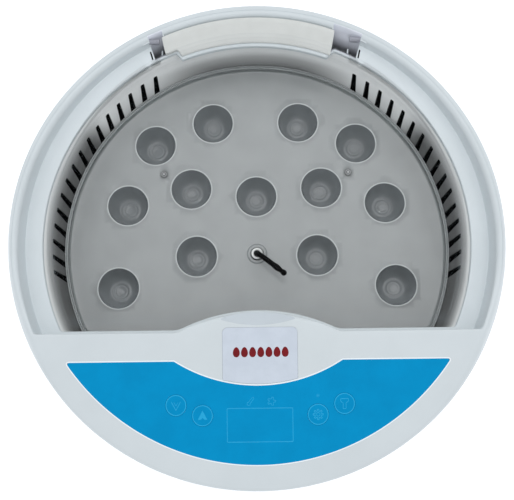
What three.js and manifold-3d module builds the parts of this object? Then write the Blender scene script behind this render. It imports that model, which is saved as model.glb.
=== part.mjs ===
// Round tabletop egg incubator: white base bowl and top cover, sloping control deck at the front (-Y),
// egg chamber with a clear tray behind it, clear hinged lid, and the fan, heater and boards inside.
// Millimetres, +Z up, origin at the centre of the footprint on the table.
import * as THREE from "three";
import Module from "manifold-3d";
import { mergeVertices } from "three/addons/utils/BufferGeometryUtils.js";

const wasm = await Module();
wasm.setup();

// ---------------------------------------------------------------- driving dimensions
const SEG = 40; // facets round the large circles
const R_OUT = 135; // largest radius of the housing
const Z_SPLIT = 58; // parting plane between base bowl and top cover
const LEDGE_Z = 62; // ledge the lid rests on
const LEDGE_T = 2.5; // ledge plate thickness
const R_OPEN = 117.5; // chamber opening
const R_STEP = 126.5; // foot of the step around the ledge
const R_STEP_TOP = 128.1; // head of the step at z 78
const WALL = 2.5; // shell thickness
const Y_EDGE = -53; // straight rear edge of the deck
const Z_EDGE = 75.8416; // height of that edge
const DECK_TILT = 9; // degrees the deck falls to the front
const RIM_FALL = 8 / 180; // rim falls towards the back
const ARCH_C = -135.1; // centre (y) of the bulge in the deck edge
const ARCH_R = 92.4; // radius of the bulge
const FRONT_LEDGE = 2.6; // ledge width along the deck edge
const NOSE_R = 113.3; // chamber lip under the hinge cover
const POCKET_R0 = 120.4, POCKET_R1 = 131.4, POCKET_Z = 50; // hinge pockets
const POCKETS = [[-61.4, -53], [46, 62]]; // x spans of the two hinge pockets
const HINGE_Y = 114, HINGE_Z = 65, HINGE_PIN_R = 1.5; // lid hinge axis
const WALL_R0 = 110, WALL_Z0 = 33, WALL_SLOPE = 0.26; // chamber wall: radius = R0 + (z - Z0) * slope
const LINER_T = 2.2, FLOOR_Z = 18;
const TRAY_Z = 33, TRAY_T = 1.2, TRAY_RIM_Z = 37.4;
const CUP_R = 11.6, CUP_Z = 21; // egg cups
const CUPS = [[0, 30.6], [-35, -4.8], [35, -4.8], [-38.2, 35.5], [38.2, 35.5], [-59.4, 62.5], [59.4, 62.5],
  [-25.3, 75.8], [25.3, 75.8], [-75.3, 26], [75.3, 26], [-80, -23], [80, -23]];
const LEDS = [0, 1, 2, 7, 8, 9, 10, 11, 12]; // cups that carry a candling LED
const SLOTS = 16, SLOT_A0 = 121, SLOT_PITCH = 4.5, SLOT_Z0 = 34, SLOT_Z1 = 50.5;
const SLOT_W0 = 1.9, SLOT_W1 = 1.2, SLOT_LEAN = 0.155; // half widths at foot and head; the foot leans to the front
const PANEL_X = 0.7; // centre line of the printed panel
const KEY_R = 5.25, KEY_TRAVEL = 0.35;
const KEYS = { key_down: [-43.9, -90.5], key_up: [-30.1, -95.9], key_candler: [30.1, -95.9], key_settings: [43.9, -90.5] };
const OVER_R = 121.4, OVER_Y = -68, OVER_ARC_Y = 1.5, OVER_ARC_R = 82.3; // blue overlay outline
const DISPLAY = [PANEL_X, -100.3, 34.2, 17.2];
const BADGE = [PANEL_X + 0.2, 19.6, -50.9]; // centre x, half width, top edge y
const LID_R = 113, LID_TOP = 98, LID_T = 2;
const LED_DOT = [30.1, -86.2];
const PROBE = [0, -3.7];
const SCREW_R = 123.5, SCREW_A = [28, 152, 205, 335];
const FOOT_R = 92, FOOT_A = [45, 135, 225, 315];
const INLET_A = -41, INLET_Z = 30;

const rad = (d) => (d * Math.PI) / 180;
const T9 = Math.tan(rad(DECK_TILT)), C9 = Math.cos(rad(DECK_TILT)), S9 = Math.sin(rad(DECK_TILT));

// ---------------------------------------------------------------- solids
function solid(geometry) {
  const g = geometry.index ? geometry.toNonIndexed() : geometry.clone();
  const bare = new THREE.BufferGeometry().setAttribute("position", g.getAttribute("position"));
  const m = mergeVertices(bare, 1e-4);
  const idx = [];
  for (let i = 0; i < m.index.count; i += 3) {
    const a = m.index.getX(i), b = m.index.getX(i + 1), c = m.index.getX(i + 2);
    if (a !== b && b !== c && c !== a) idx.push(a, b, c);
  }
  const make = (t) => new wasm.Manifold(new wasm.Mesh({ numProp: 3, vertProperties: new Float32Array(m.attributes.position.array), triVerts: new Uint32Array(t) }));
  let s = make(idx);
  if (s.volume() < 0) {
    for (let i = 0; i < idx.length; i += 3) [idx[i + 1], idx[i + 2]] = [idx[i + 2], idx[i + 1]];
    s = make(idx);
  }
  return s;
}
const join = (...s) => s.reduce((a, b) => a.add(b));
const cut = (a, ...s) => s.reduce((p, b) => p.subtract(b), a);

function box(x0, x1, y0, y1, z0, z1, matrix) {
  const g = new THREE.BoxGeometry(x1 - x0, y1 - y0, z1 - z0);
  g.translate((x0 + x1) / 2, (y0 + y1) / 2, (z0 + z1) / 2);
  if (matrix) g.applyMatrix4(matrix);
  return solid(g);
}
function lathe(points, x = 0, y = 0, seg = SEG, matrix) {
  const g = new THREE.LatheGeometry(points.map((p) => new THREE.Vector2(p[0], p[1])), seg);
  g.rotateX(Math.PI / 2);
  g.translate(x, y, 0);
  if (matrix) g.applyMatrix4(matrix);
  return solid(g);
}
const cyl = (r, z0, z1, x = 0, y = 0, seg = SEG, matrix) => lathe([[0, z0], [r, z0], [r, z1], [0, z1]], x, y, seg, matrix);
function prism(points, z0, z1, matrix) {
  const shape = new THREE.Shape(points.map((p) => new THREE.Vector2(p[0], p[1])));
  const g = new THREE.ExtrudeGeometry(shape, { depth: z1 - z0, bevelEnabled: false });
  g.translate(0, 0, z0);
  if (matrix) g.applyMatrix4(matrix);
  return solid(g);
}
function tube(points, r, steps, sides = 6) {
  const curve = new THREE.CatmullRomCurve3(points.map((p) => new THREE.Vector3(...p)), false, "centripetal");
  const shape = new THREE.Shape();
  for (let i = 0; i < sides; i++) {
    const a = (i / sides) * 2 * Math.PI;
    i ? shape.lineTo(r * Math.cos(a), r * Math.sin(a)) : shape.moveTo(r * Math.cos(a), r * Math.sin(a));
  }
  return solid(new THREE.ExtrudeGeometry(shape, { steps, extrudePath: curve, bevelEnabled: false }));
}
const matrix = (x, y, z, rx = 0, ry = 0, rz = 0) =>
  new THREE.Matrix4().compose(new THREE.Vector3(x, y, z), new THREE.Quaternion().setFromEuler(new THREE.Euler(rx, ry, rz)), new THREE.Vector3(1, 1, 1));
// frame of the sloping deck: w = 0 is its surface, v runs up the slope from the rear edge
const DECK = new THREE.Matrix4().makeBasis(new THREE.Vector3(1, 0, 0), new THREE.Vector3(0, C9, S9), new THREE.Vector3(0, -S9, C9)).setPosition(0, Y_EDGE, Z_EDGE);
const deckV = (y) => (y - Y_EDGE) / C9;
const slab = (w0, w1) => box(-200, 200, -200, 200, w0, w1, DECK);
const deckCyl = (r, w0, w1, x, y, seg = 20) => cyl(r, w0, w1, x, deckV(y), seg, DECK);
const deckBox = (x0, x1, y0, y1, w0, w1) => box(x0, x1, deckV(y0), deckV(y1), w0, w1, DECK);
const archCyl = (r, z0 = 0, z1 = 120) => cyl(r, z0, z1, 0, ARCH_C, 48);
const inner = (y) => box(-200, 200, -200, y, -10, 160); // everything in front of a line y
const arc = (cx, cy, r, a0, a1, n) => Array.from({ length: n + 1 }, (_, i) => {
  const a = rad(a0 + ((a1 - a0) * i) / n);
  return [cx + r * Math.cos(a), cy + r * Math.sin(a)];
});

const group = new THREE.Group();
group.name = "egg_incubator";
const finish = {
  white_abs: [0xdde3e4, 0.42, 0], deck_white: [0xdbe1e2, 0.4, 0], panel_blue: [0x0a9ac2, 0.38, 0], clear: [0xdfe8ea, 0.08, 0],
  clear_tray: [0xc3caca, 0.15, 0], badge: [0xd3dbe4, 0.45, 0], steel: [0xb9bcbe, 0.3, 0.9], rubber: [0x2a2c2e, 0.85, 0], board: [0x1d6b3c, 0.55, 0],
  black: [0x1a1b1d, 0.5, 0], copper: [0xb98a4a, 0.4, 0.8], led: [0xf4f6ee, 0.2, 0], grommet: [0xf0f0ee, 0.5, 0], liner: [0xd2d7d7, 0.45, 0],
};
const mats = Object.fromEntries(Object.entries(finish).map(([k, v]) => [k, new THREE.MeshStandardMaterial({ name: k, color: v[0], roughness: v[1], metalness: v[2] })]));
function put(name, s, material, parent = group) {
  const m = s.getMesh(), n = m.numProp;
  const v = new Float32Array(m.numVert * 3);
  for (let i = 0; i < m.numVert; i++) v.set(m.vertProperties.subarray(i * n, i * n + 3), i * 3);
  const g = new THREE.BufferGeometry().setAttribute("position", new THREE.BufferAttribute(v, 3)).setIndex(new THREE.BufferAttribute(new Uint32Array(m.triVerts), 1));
  g.computeVertexNormals();
  const mesh = new THREE.Mesh(g, mats[material]);
  mesh.name = name;
  parent.add(mesh);
  return mesh;
}
const polar = (r, a) => [r * Math.cos(rad(a)), r * Math.sin(rad(a))];

// ---------------------------------------------------------------- base bowl
{
  const outer = lathe([[0, 4], [118, 4], [126, 7], [130.2, 14], [134, 50], [134.6, Z_SPLIT - 0.3], [0, Z_SPLIT - 0.3]]);
  const hollow = lathe([[0, 6.6], [117, 6.6], [127.2, 14], [132, Z_SPLIT], [132, 70], [0, 70]]);
  let s = cut(outer, hollow);
  for (const a of SCREW_A) {
    const [bx, by] = polar(SCREW_R, a);
    s = join(s, cyl(4.8, 12, 28, bx, by, 12).intersect(lathe([[0, 4], [118, 4], [126, 7], [130.2, 14], [134, 50], [0, 50]])));
    s = cut(s, cyl(1.9, 2, 40, bx, by, 8), cyl(3.8, 2, 17, bx, by, 12));
  }
  for (const a of FOOT_A) {
    const [x, y] = polar(FOOT_R, a);
    s = cut(s, cyl(3, 2, 8, x, y, 10));
  }
  for (const [x, y] of [[-60, 40], [60, 40], [0, 84], [-40, -40], [40, -40]]) s = join(s, cyl(3, 6, 9.5, x, y, 8)); // candling board posts
  for (const [x, y] of [[-28, -104], [28, -104], [-28, -76], [28, -76]]) s = join(s, cyl(3, 6, 11.7, x, y, 8)); // power board posts
  for (let i = 0; i < 6; i++) s = cut(s, box(-27 + i * 10.5, -24.5 + i * 10.5, -100, -80, 2, 8)); // air intake under the fan
  s = cut(s, box(108, 140, -10.8, 10.8, INLET_Z - 6.8, INLET_Z + 6.8, matrix(0, 0, 0, 0, 0, rad(INLET_A))));
  put("base_shell", s, "white_abs");
}

// ---------------------------------------------------------------- top cover
{
  const profile = [[134.6, Z_SPLIT], [135, 64], [134.7, 68], [133.7, 71.5], [131.9, 74.4], [129.4, 76.6], [125, 78.2], [115, 79]];
  const rimCut = (dz, arch) => cut(box(-200, 200, Y_EDGE, 400, 0, 200, matrix(0, 0, 0)).intersect(
    box(-200, 200, -300, 300, 0, 100, new THREE.Matrix4().makeBasis(new THREE.Vector3(1, 0, 0), new THREE.Vector3(0, 1, -RIM_FALL).normalize(), new THREE.Vector3(0, RIM_FALL, 1).normalize()).setPosition(0, Y_EDGE, Z_EDGE + dz))), archCyl(arch));
  let outer = lathe([[0, Z_SPLIT], ...profile, [0, 80]]);
  outer = cut(outer, slab(0, 100), rimCut(0, ARCH_R));
  let hollow = lathe([[0, Z_SPLIT - 2], ...profile.map((p, i) => [p[0] - WALL, i ? p[1] - (i > 2 ? WALL * 0.8 : 0) : p[1] - 2]), [0, 77.5]]);
  hollow = cut(hollow, slab(-WALL, 100), rimCut(-WALL, ARCH_R));
  let keep = cut(cyl(R_STEP + WALL, LEDGE_Z - LEDGE_T, 100), inner(Y_EDGE - WALL), archCyl(ARCH_R - WALL));
  const pocketWalls = POCKETS.map(([x0, x1]) => cut(cyl(POCKET_R1 + 1.6, POCKET_Z - 2, 100), cyl(POCKET_R0 - 0.9, 0, 120)).intersect(box(x0 - 1.6, x1 + 1.6, 60, 160, 0, 120)));
  const pocketHoles = POCKETS.map(([x0, x1]) => cut(lathe([[0, POCKET_Z], [POCKET_R1 - 8, POCKET_Z], [POCKET_R1 - 7, 52], [POCKET_R1 - 2.5, 60], [POCKET_R1, 64.5], [POCKET_R1, 120], [0, 120]]), cyl(POCKET_R0, 0, 121)).intersect(box(x0, x1, 60, 160, 0, 120)));
  const hingeBlocks = [-1, 1].map((k) => box(k > 0 ? 61.8 : -67.5, k > 0 ? 67.5 : -61.2, HINGE_Y - 4, HINGE_Y + 4.5, LEDGE_Z - LEDGE_T, 100));
  keep = join(keep, ...pocketWalls, ...hingeBlocks);
  hollow = cut(hollow, keep);
  const recess = cut(lathe([[0, LEDGE_Z], [R_STEP, LEDGE_Z], [R_STEP_TOP, 78], [R_STEP_TOP, 130], [0, 130]]), inner(Y_EDGE), archCyl(ARCH_R));
  const nose = cut(cyl(R_OPEN + 3, 0, 120), cyl(NOSE_R, -1, 121)).intersect(prism([[-40.8, 60], [44, 60], [45.8, 160], [-45.5, 160]], 0, 120));
  const opening = cut(cyl(R_OPEN, 40, 70), inner(Y_EDGE + FRONT_LEDGE), archCyl(ARCH_R + FRONT_LEDGE), nose);
  let s = cut(outer, hollow, recess);
  // cups of the hinge pockets and the screw posts hang below the parting plane
  s = join(s, ...pocketWalls.map((p) => p.intersect(cyl(POCKET_R1 - 0.5, POCKET_Z - 2, LEDGE_Z - 1))));
  for (const a of SCREW_A) {
    const [x, y] = polar(SCREW_R, a);
    s = join(s, cyl(3.9, 28.4, LEDGE_Z - 1, x, y, 12));
    s = cut(s, cyl(1.7, 20, 56, x, y, 8));
  }
  s = cut(s, opening, ...pocketHoles);
  // pin holes in the hinge blocks
  const across = (r, x0, x1) => cyl(r, x0, x1, 0, 0, 14, new THREE.Matrix4().makeBasis(new THREE.Vector3(0, 1, 0), new THREE.Vector3(0, 0, 1), new THREE.Vector3(1, 0, 0)).setPosition(0, HINGE_Y, HINGE_Z));
  s = cut(s, across(1.8, 60, 66.4), across(1.8, -66.4, -60));
  // finger scoop in the bulge of the deck edge: a shallow spherical dent
  const cap = [];
  for (const r of [0, 30, 50, 64.8]) cap.push([r, 167.9 - Math.sqrt(180 * 180 - r * r)]);
  s = cut(s, lathe([...cap, [64.8, 12], [0, 12]], 0, deckV(14.3), 48, DECK));
  // seat of the overlay, its window, lamp hole and stem holes
  const over = (grow) => cut(cyl(OVER_R + grow, 20, 120), box(-200, 200, OVER_Y + grow, 200, 0, 130), cyl(OVER_ARC_R - grow, 0, 130, 0, OVER_ARC_Y, 48));
  s = cut(s, over(0.3).intersect(slab(-1, 20)));
  s = cut(s, deckBox(DISPLAY[0] - 17.1, DISPLAY[0] + 17.1, DISPLAY[1] - 8.6, DISPLAY[1] + 8.6, -8, 2));
  s = cut(s, deckCyl(1.8, -8, 2, PANEL_X + LED_DOT[0], LED_DOT[1], 12));
  for (const [x, y] of Object.values(KEYS)) s = cut(s, deckCyl(2.2, -8, 2, PANEL_X + x, y, 8));
  // shallow seat of the badge
  const badge = (g) => {
    const [cx, hw, top] = BADGE, r = 2.7;
    const pts = [...arc(cx + hw - r + g, top - r + g, r, 0, 90, 5), ...arc(cx - hw + r - g, top - r + g, r, 90, 180, 5), [cx - hw - g, -90], [cx + hw + g, -90]];
    return cut(prism(pts, 20, 120), cut(cyl(150, 10, 130, 0, 0), cyl(OVER_ARC_R - 0.9 + g, 0, 140, 0, OVER_ARC_Y, 48)).intersect(box(-60, 60, -120, -60, 0, 130)));
  };
  s = cut(s, badge(0.3).intersect(slab(-0.7, 20)));
  put("top_cover", s, "deck_white");
  put("badge_plate", badge(0).intersect(slab(-0.35, 0.15)), "badge");

  // ---------------------------------------------------------------- control overlay and keys
  let film = over(0).intersect(slab(-0.7, 0.12));
  for (const [x, y] of Object.values(KEYS)) film = cut(film, deckCyl(KEY_R + 0.35, -5, 5, PANEL_X + x, y, 24));
  put("control_overlay", film, "panel_blue");
  for (const [name, [x, y]] of Object.entries(KEYS))
    put(name, join(deckCyl(KEY_R, -0.55, 0.2, PANEL_X + x, y, 24), deckCyl(1.6, -5, -0.3, PANEL_X + x, y, 8)), "panel_blue");
  for (const [name, [x, y]] of Object.entries(KEYS))
    put(name.replace("key", "switch"), join(deckBox(PANEL_X + x - 3, PANEL_X + x + 3, y - 3, y + 3, -9.2, -6.2), deckCyl(1.5, -6.5, -5.45, PANEL_X + x, y, 10)), "black");
  put("control_board", deckBox(-54, 55, -113, -80, -11.1, -9.5), "board");
  put("display_module", join(deckBox(DISPLAY[0] - 18.5, DISPLAY[0] + 18.5, DISPLAY[1] - 9.8, DISPLAY[1] + 9.8, -9.2, -2.9), deckBox(DISPLAY[0] - 16.7, DISPLAY[0] + 16.7, DISPLAY[1] - 8.2, DISPLAY[1] + 8.2, -3, -1.2)), "black");
  put("status_led", join(deckCyl(1.9, -9.2, -4, PANEL_X + LED_DOT[0], LED_DOT[1], 12), deckCyl(1.45, -4.2, -1.2, PANEL_X + LED_DOT[0], LED_DOT[1], 12)), "led");
  put("buzzer", cut(deckCyl(5.5, -9.2, -4.2, -22, -85.5, 18), deckCyl(1, -6, 0, -22, -85.5, 8)), "black");
}

// ---------------------------------------------------------------- chamber liner, tray and probe
const wallR = (z) => WALL_R0 + (z - WALL_Z0) * WALL_SLOPE;
const GAP = 0.3;
{
  const zTop = LEDGE_Z - LEDGE_T - GAP;
  const yF = Y_EDGE + FRONT_LEDGE;
  const outer = cut(lathe([[0, FLOOR_Z - LINER_T], [wallR(FLOOR_Z) - 2, FLOOR_Z - LINER_T], [wallR(FLOOR_Z) + LINER_T, FLOOR_Z + 1], [wallR(zTop) + LINER_T, zTop], [0, zTop]]), inner(yF - LINER_T), archCyl(ARCH_R + FRONT_LEDGE - LINER_T));
  const hollow = cut(lathe([[0, FLOOR_Z], [wallR(FLOOR_Z) - 2.5, FLOOR_Z], [wallR(FLOOR_Z + 2.5), FLOOR_Z + 2.5], [wallR(70), 70], [0, 70]]), inner(yF), archCyl(ARCH_R + FRONT_LEDGE));
  let s = outer;
  // ears that slip over the cover's screw posts
  for (const a of SCREW_A) {
    const m = matrix(0, 0, 0, 0, 0, rad(a));
    s = join(s, box(100, SCREW_R + 6, -6.5, 6.5, zTop - 3.2, zTop - 0.6, m));
  }
  s = cut(s, hollow);
  for (const a of SCREW_A) {
    const [x, y] = polar(SCREW_R, a);
    s = cut(s, cyl(4.4, 20, 70, x, y, 12));
  }
  for (const [x, y] of [[-54.3, 44.7], [54.3, 44.7]]) {
    s = join(s, cyl(3.4, FLOOR_Z - 1, 31.2, x, y, 14));
    s = cut(s, cyl(1.3, 24, 40, x, y, 8));
  }
  for (const [x, y] of [[-97, 4], [97, 4], [-50, -36], [50, -36], [0, 103]]) s = join(s, cyl(3, FLOOR_Z - 1, 31.4, x, y, 8)); // tray rests
  // vent slots, 16 on each side
  for (let i = 0; i < SLOTS; i++)
    for (const side of [-1, 1]) {
      const a = side < 0 ? SLOT_A0 + i * SLOT_PITCH : 180 - SLOT_A0 - i * SLOT_PITCH;
      const u0 = -side * SLOT_LEAN * (44 - SLOT_Z0), u1 = -side * SLOT_LEAN * (44 - SLOT_Z1);
      s = cut(s, prism([[SLOT_Z0, u0 - SLOT_W0], [SLOT_Z1, u1 - SLOT_W1], [SLOT_Z1, u1 + SLOT_W1], [SLOT_Z0, u0 + SLOT_W0]], 100, 130,
        new THREE.Matrix4().multiply(matrix(0, 0, 0, 0, 0, rad(a))).multiply(new THREE.Matrix4().makeBasis(new THREE.Vector3(0, 0, 1), new THREE.Vector3(0, 1, 0), new THREE.Vector3(-1, 0, 0))).multiply(matrix(0, 0, -230))));
    }
  // fan grille in the front wall and warm air return
  for (let i = -3; i <= 3; i++) s = cut(s, box(i * 5 - 1.4, i * 5 + 1.4, -70, -30, 38, 54));
  for (const i of [-2, -1, 0, 1, 2]) for (const k of [-1, 1]) s = cut(s, box(k * 78 + i * 5 - 1.3, k * 78 + i * 5 + 1.3, -60, -45, 38, 52));
  // holes under the cups for the candling lamps, and for the probe
  for (const i of LEDS) s = cut(s, cyl(3, 10, 20, CUPS[i][0], CUPS[i][1], 8));
  s = cut(s, cyl(3.5, 10, 20, PROBE[0], PROBE[1], 16));
  put("chamber_liner", s, "liner");

  // clear tray with its upturned rim and 13 cups
  const tOut = (g, z0, z1) => cut(lathe([[0, z0], [wallR(z0) - 0.6 - g, z0], [wallR(z1) - 0.6 - g, z1], [0, z1]]), inner(yF + 0.6 + g), archCyl(ARCH_R + FRONT_LEDGE + 0.6 + g));
  let tray = cut(tOut(0, TRAY_Z - TRAY_T, TRAY_RIM_Z), tOut(TRAY_T, TRAY_Z, TRAY_RIM_Z + 1));
  for (const [x, y] of CUPS) tray = join(tray, lathe([[0, CUP_Z - TRAY_T], [5.8, CUP_Z - TRAY_T], [10.9, CUP_Z + 3.6], [12.8, TRAY_Z - 0.4], [0, TRAY_Z - 0.4]], x, y, 10));
  for (const [x, y] of CUPS) tray = cut(tray, lathe([[0, CUP_Z], [4.7, CUP_Z], [9.5, CUP_Z + 4], [CUP_R, TRAY_Z + 0.2], [0, TRAY_Z + 0.2]], x, y, 10));
  tray = cut(tray, cyl(5.35, 20, 40, PROBE[0], PROBE[1], 20));
  for (const x of [-54.3, 54.3]) tray = cut(tray, cyl(1.6, 20, 40, x, 44.7, 12));
  put("egg_tray", tray, "clear_tray");
  for (const [n, x] of [["tray_peg_left", -54.3], ["tray_peg_right", 54.3]])
    put(n, cut(join(cyl(2.6, TRAY_Z + GAP, TRAY_Z + 1.7, x, 44.7, 12), cyl(1, 25, TRAY_Z + 0.6, x, 44.7, 6)), box(x - 0.85, x + 0.85, 43.85, 45.55, TRAY_Z + 0.9, 40)), "grommet");

  // temperature and humidity probe standing in its grommet
  const [px, py] = PROBE;
  put("probe_grommet", lathe([[1.9, 14.5], [3.15, 14.5], [3.15, 18.3], [5.6, 18.3], [5.6, 20.3], [3.15, 20.8], [3.15, 34.2], [2.6, 34.9], [1.9, 34.9], [1.9, 14.5]], px, py, 12), "grommet");
  put("probe_sensor", join(tube([[px, py, 13.5], [px, py, 22], [px, py, 32], [px + 1, py - 1, 37.5], [px + 4.2, py - 4, 41.5], [px + 9, py - 8.3, 44.3], [px + 12.4, py - 11.3, 45.6]], 1.4, 16, 6),
    tube([[px + 10.6, py - 9.7, 45], [px + 13, py - 11.8, 45.9], [px + 16.2, py - 14.6, 47]], 1.75, 3, 6)), "black");
}

// ---------------------------------------------------------------- hinge cover, pins and lid
{
  const ends = prism([[-50.1, 104], [42.6, 103], [46.2, 121], [45.2, 136], [-54.2, 136], [-53.2, 118]], LEDGE_Z + GAP, 80);
  let bar = lathe([[NOSE_R + 0.7, LEDGE_Z + GAP], [R_STEP - GAP, LEDGE_Z + GAP], [R_STEP_TOP - 1.2, 67.3], [R_STEP - 1.2, 67.6], [NOSE_R + 1.1, 63.7], [NOSE_R + 0.7, 63.3], [NOSE_R + 0.7, LEDGE_Z + GAP]]).intersect(ends);
  bar = cut(bar, cyl(R_OPEN + 0.8, 60, 70).intersect(box(-70, -42.6, 60, 130, 50, 80)));
  put("hinge_cover", bar, "white_abs");
  const along = (r, x0, x1, seg = 12) => cyl(r, x0, x1, 0, 0, seg, new THREE.Matrix4().makeBasis(new THREE.Vector3(0, 1, 0), new THREE.Vector3(0, 0, 1), new THREE.Vector3(1, 0, 0)).setPosition(0, HINGE_Y, HINGE_Z));
  put("hinge_pin_left", along(HINGE_PIN_R, -66, -54), "grommet");
  put("hinge_pin_right", along(HINGE_PIN_R, 54, 66), "grommet");

  const dome = (g, top) => [[LID_R - g, LEDGE_Z + GAP], [LID_R - 1.2 - g, 74], [LID_R - 3 - g, 84], [LID_R - 7 - g, 89.5 - g * 0.5], [LID_R - 16 - g, top - 3.2], [LID_R - 38, top - 0.9], [0, top]];
  const yL = Y_EDGE + 3.6;
  let shell = cut(lathe([[0, LEDGE_Z + GAP], ...dome(0, LID_TOP)]), inner(yL), archCyl(ARCH_R + 3.6));
  const inside = cut(lathe([[0, 40], [LID_R - LID_T, 40], ...dome(LID_T, LID_TOP - LID_T)]), inner(yL + LID_T), archCyl(ARCH_R + 3.6 + LID_T));
  // resting flange
  let flange = cut(cyl(R_STEP - 0.6, LEDGE_Z + GAP, LEDGE_Z + GAP + 1.8), inner(Y_EDGE + 0.5), archCyl(ARCH_R + 0.5));
  flange = cut(flange, box(-62.6, 62.6, 60, 140, 50, 90));
  const arms = [-1, 1].map((k) => {
    const x0 = k > 0 ? 53.6 : -58.6, x1 = k > 0 ? 58.6 : -53.6;
    return cut(join(box(x0, x1, 92, HINGE_Y, LEDGE_Z + GAP, 67), along(3, x0, x1, 18)), along(1.85, x0 - 1, x1 + 1, 14));
  });
  const lid = cut(join(shell, flange, ...arms), inside.subtract(box(-200, 200, -200, 300, 0, LEDGE_Z)));
  const left = cut(lid, cyl(R_OPEN - 4.5 - LID_T, 40, LEDGE_Z + 4, 0, 0).subtract(inner(yL + LID_T)).subtract(archCyl(ARCH_R + 3.6 + LID_T)));
  put("lid_dome", left, "clear");
}

// ---------------------------------------------------------------- fan, heater and boards
{
  const FY = -58, FZ = 38;
  const alongY = (y0, y1) => new THREE.Matrix4().makeBasis(new THREE.Vector3(1, 0, 0), new THREE.Vector3(0, 0, 1), new THREE.Vector3(0, -1, 0)).setPosition(0, 0, FZ);
  const cy = (r, y0, y1, seg = 24) => cyl(r, -y1, -y0, 0, 0, seg, alongY());
  let frame = cut(box(-20, 20, FY - 5, FY + 5, FZ - 20, FZ + 20), cy(18.6, FY - 6, FY + 6, 24));
  frame = join(frame, cy(7, FY - 5, FY - 3.6, 16), box(-19, 19, FY - 5, FY - 3.6, FZ - 1.2, FZ + 1.2), box(-1.2, 1.2, FY - 5, FY - 3.6, FZ - 19, FZ + 19));
  for (const x of [-16.2, 16.2]) for (const z of [-16.2, 16.2]) frame = cut(frame, cyl(1.7, -FY - 6, -FY + 6, x, z, 6, alongY()));
  put("fan_frame", frame, "black");
  let rotor = cy(8, FY - 3.2, FY + 4, 14);
  for (let i = 0; i < 7; i++) {
    const m = new THREE.Matrix4().multiply(matrix(0, FY + 0.6, FZ)).multiply(matrix(0, 0, 0, 0, (i * 2 * Math.PI) / 7, 0)).multiply(matrix(0, 0, 0, rad(0), 0, rad(32)));
    rotor = join(rotor, box(-5.2, 5.2, -0.6, 0.6, 7, 17.4, m));
  }
  put("fan_rotor", rotor, "black");
  // nichrome tube element on a reflector plate behind the fan
  const HY = -70;
  const plate = cut(box(-46, 46, HY - 6.2, HY - 5, 20, 58), cy(9, HY - 8, HY - 3, 20));
  put("heater_bracket", join(plate, box(-46, -40, HY - 6.2, HY + 1, 20, 21.2), box(40, 46, HY - 6.2, HY + 1, 20, 21.2)), "steel");
  put("heater_element", tube([[-38, HY, 24], [30, HY, 24], [37, HY, 26], [38, HY, 30], [36, HY, 33.5], [28, HY, 35], [-28, HY, 35], [-36, HY, 37], [-38, HY, 40.5], [-36, HY, 44.5], [-28, HY, 46], [38, HY, 46]], 1.7, 36, 6), "copper");
  put("thermal_cutoff", join(box(40.5, 48, HY - 12, HY - 6.6, 34, 46), cyl(1, 28, 34.5, 44, HY - 9, 8)), "black");
  put("power_board", cut(box(-34, 34, -109, -72, 12, 13.6), cyl(1.7, 10, 20, -28, -104, 8), cyl(1.7, 10, 20, 28, -104, 8)), "board");
  put("transformer", join(box(-30, -8, -97, -79, 13.9, 31), box(-27, -11, -99, -77, 16, 29)), "black");
  put("filter_capacitor", lathe([[0, 13.9], [5, 13.9], [5, 29], [4.4, 29.6], [0, 29.6]], 6, -92, 16), "black");
  const im = matrix(0, 0, 0, 0, 0, rad(INLET_A));
  let inlet = join(box(114, 130.9, -10.4, 10.4, INLET_Z - 6.4, INLET_Z + 6.4, im), box(122.4, 124.6, -13.5, 13.5, INLET_Z - 9, INLET_Z + 9, im));
  inlet = cut(inlet, box(118, 140, -7.5, 7.5, INLET_Z - 4.2, INLET_Z + 4.2, im));
  inlet = join(inlet, box(116.5, 127.5, -4.9, -2.7, INLET_Z - 1.1, INLET_Z + 1.1, im), box(116.5, 127.5, 2.7, 4.9, INLET_Z - 1.1, INLET_Z + 1.1, im));
  put("power_inlet", inlet, "black");
  put("mains_lead", tube([[84, -74, 26], [80, -74, 19], [68, -80, 15.6], [52, -84, 16.8], [38, -86, 17.5], [32, -86, 16.2], [31, -86, 14.6]], 1.6, 14, 5), "black");
  const ribbon = new THREE.Shape([[-9, -0.4], [9, -0.4], [9, 0.4], [-9, 0.4]].map((p) => new THREE.Vector2(...p)));
  put("ribbon_cable", prism([[-83, 58.6], [-82, 52], [-80, 22], [-80.4, 14.4], [-79.6, 14.3], [-79.2, 22], [-81.2, 52.2], [-82, 58.6]].map(([y, z]) => [y, z]), 12, 26,
    new THREE.Matrix4().makeBasis(new THREE.Vector3(0, 1, 0), new THREE.Vector3(0, 0, 1), new THREE.Vector3(1, 0, 0))), "badge");
  // candling board with one lamp under each of nine cups
  let board = cut(cyl(96, 9.8, 11.4, 0, 18, 48), inner(-44));
  board = cut(board, cyl(6, 0, 20, PROBE[0], PROBE[1], 16));
  put("candler_board", board.intersect(cyl(104, 0, 20)), "board");
  LEDS.forEach((c, i) => {
    const [x, y] = CUPS[c];
    put("candler_led_" + (i + 1), lathe([[0, 11.7], [2.5, 11.7], [2.5, 16], [0, 17.6]], x, y, 8), "led");
  });
}

// ---------------------------------------------------------------- feet and screws
FOOT_A.forEach((a, i) => {
  const [x, y] = polar(FOOT_R, a);
  put("foot_" + ["rear_right", "rear_left", "front_left", "front_right"][i], join(lathe([[0, 0], [8, 0], [8, 3.7], [0, 3.7]], x, y, 16), cyl(2.7, 3.5, 7.6, x, y, 8)), "rubber");
});
SCREW_A.forEach((a, i) => {
  const [x, y] = polar(SCREW_R, a);
  put("case_screw_" + (i + 1), cut(join(cyl(3.3, 14, 16.6, x, y, 12), cyl(1.35, 16.5, 44, x, y, 6)), box(x - 2.2, x + 2.2, y - 0.4, y + 0.4, 13, 14.9)), "steel");
});

export default group;
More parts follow.
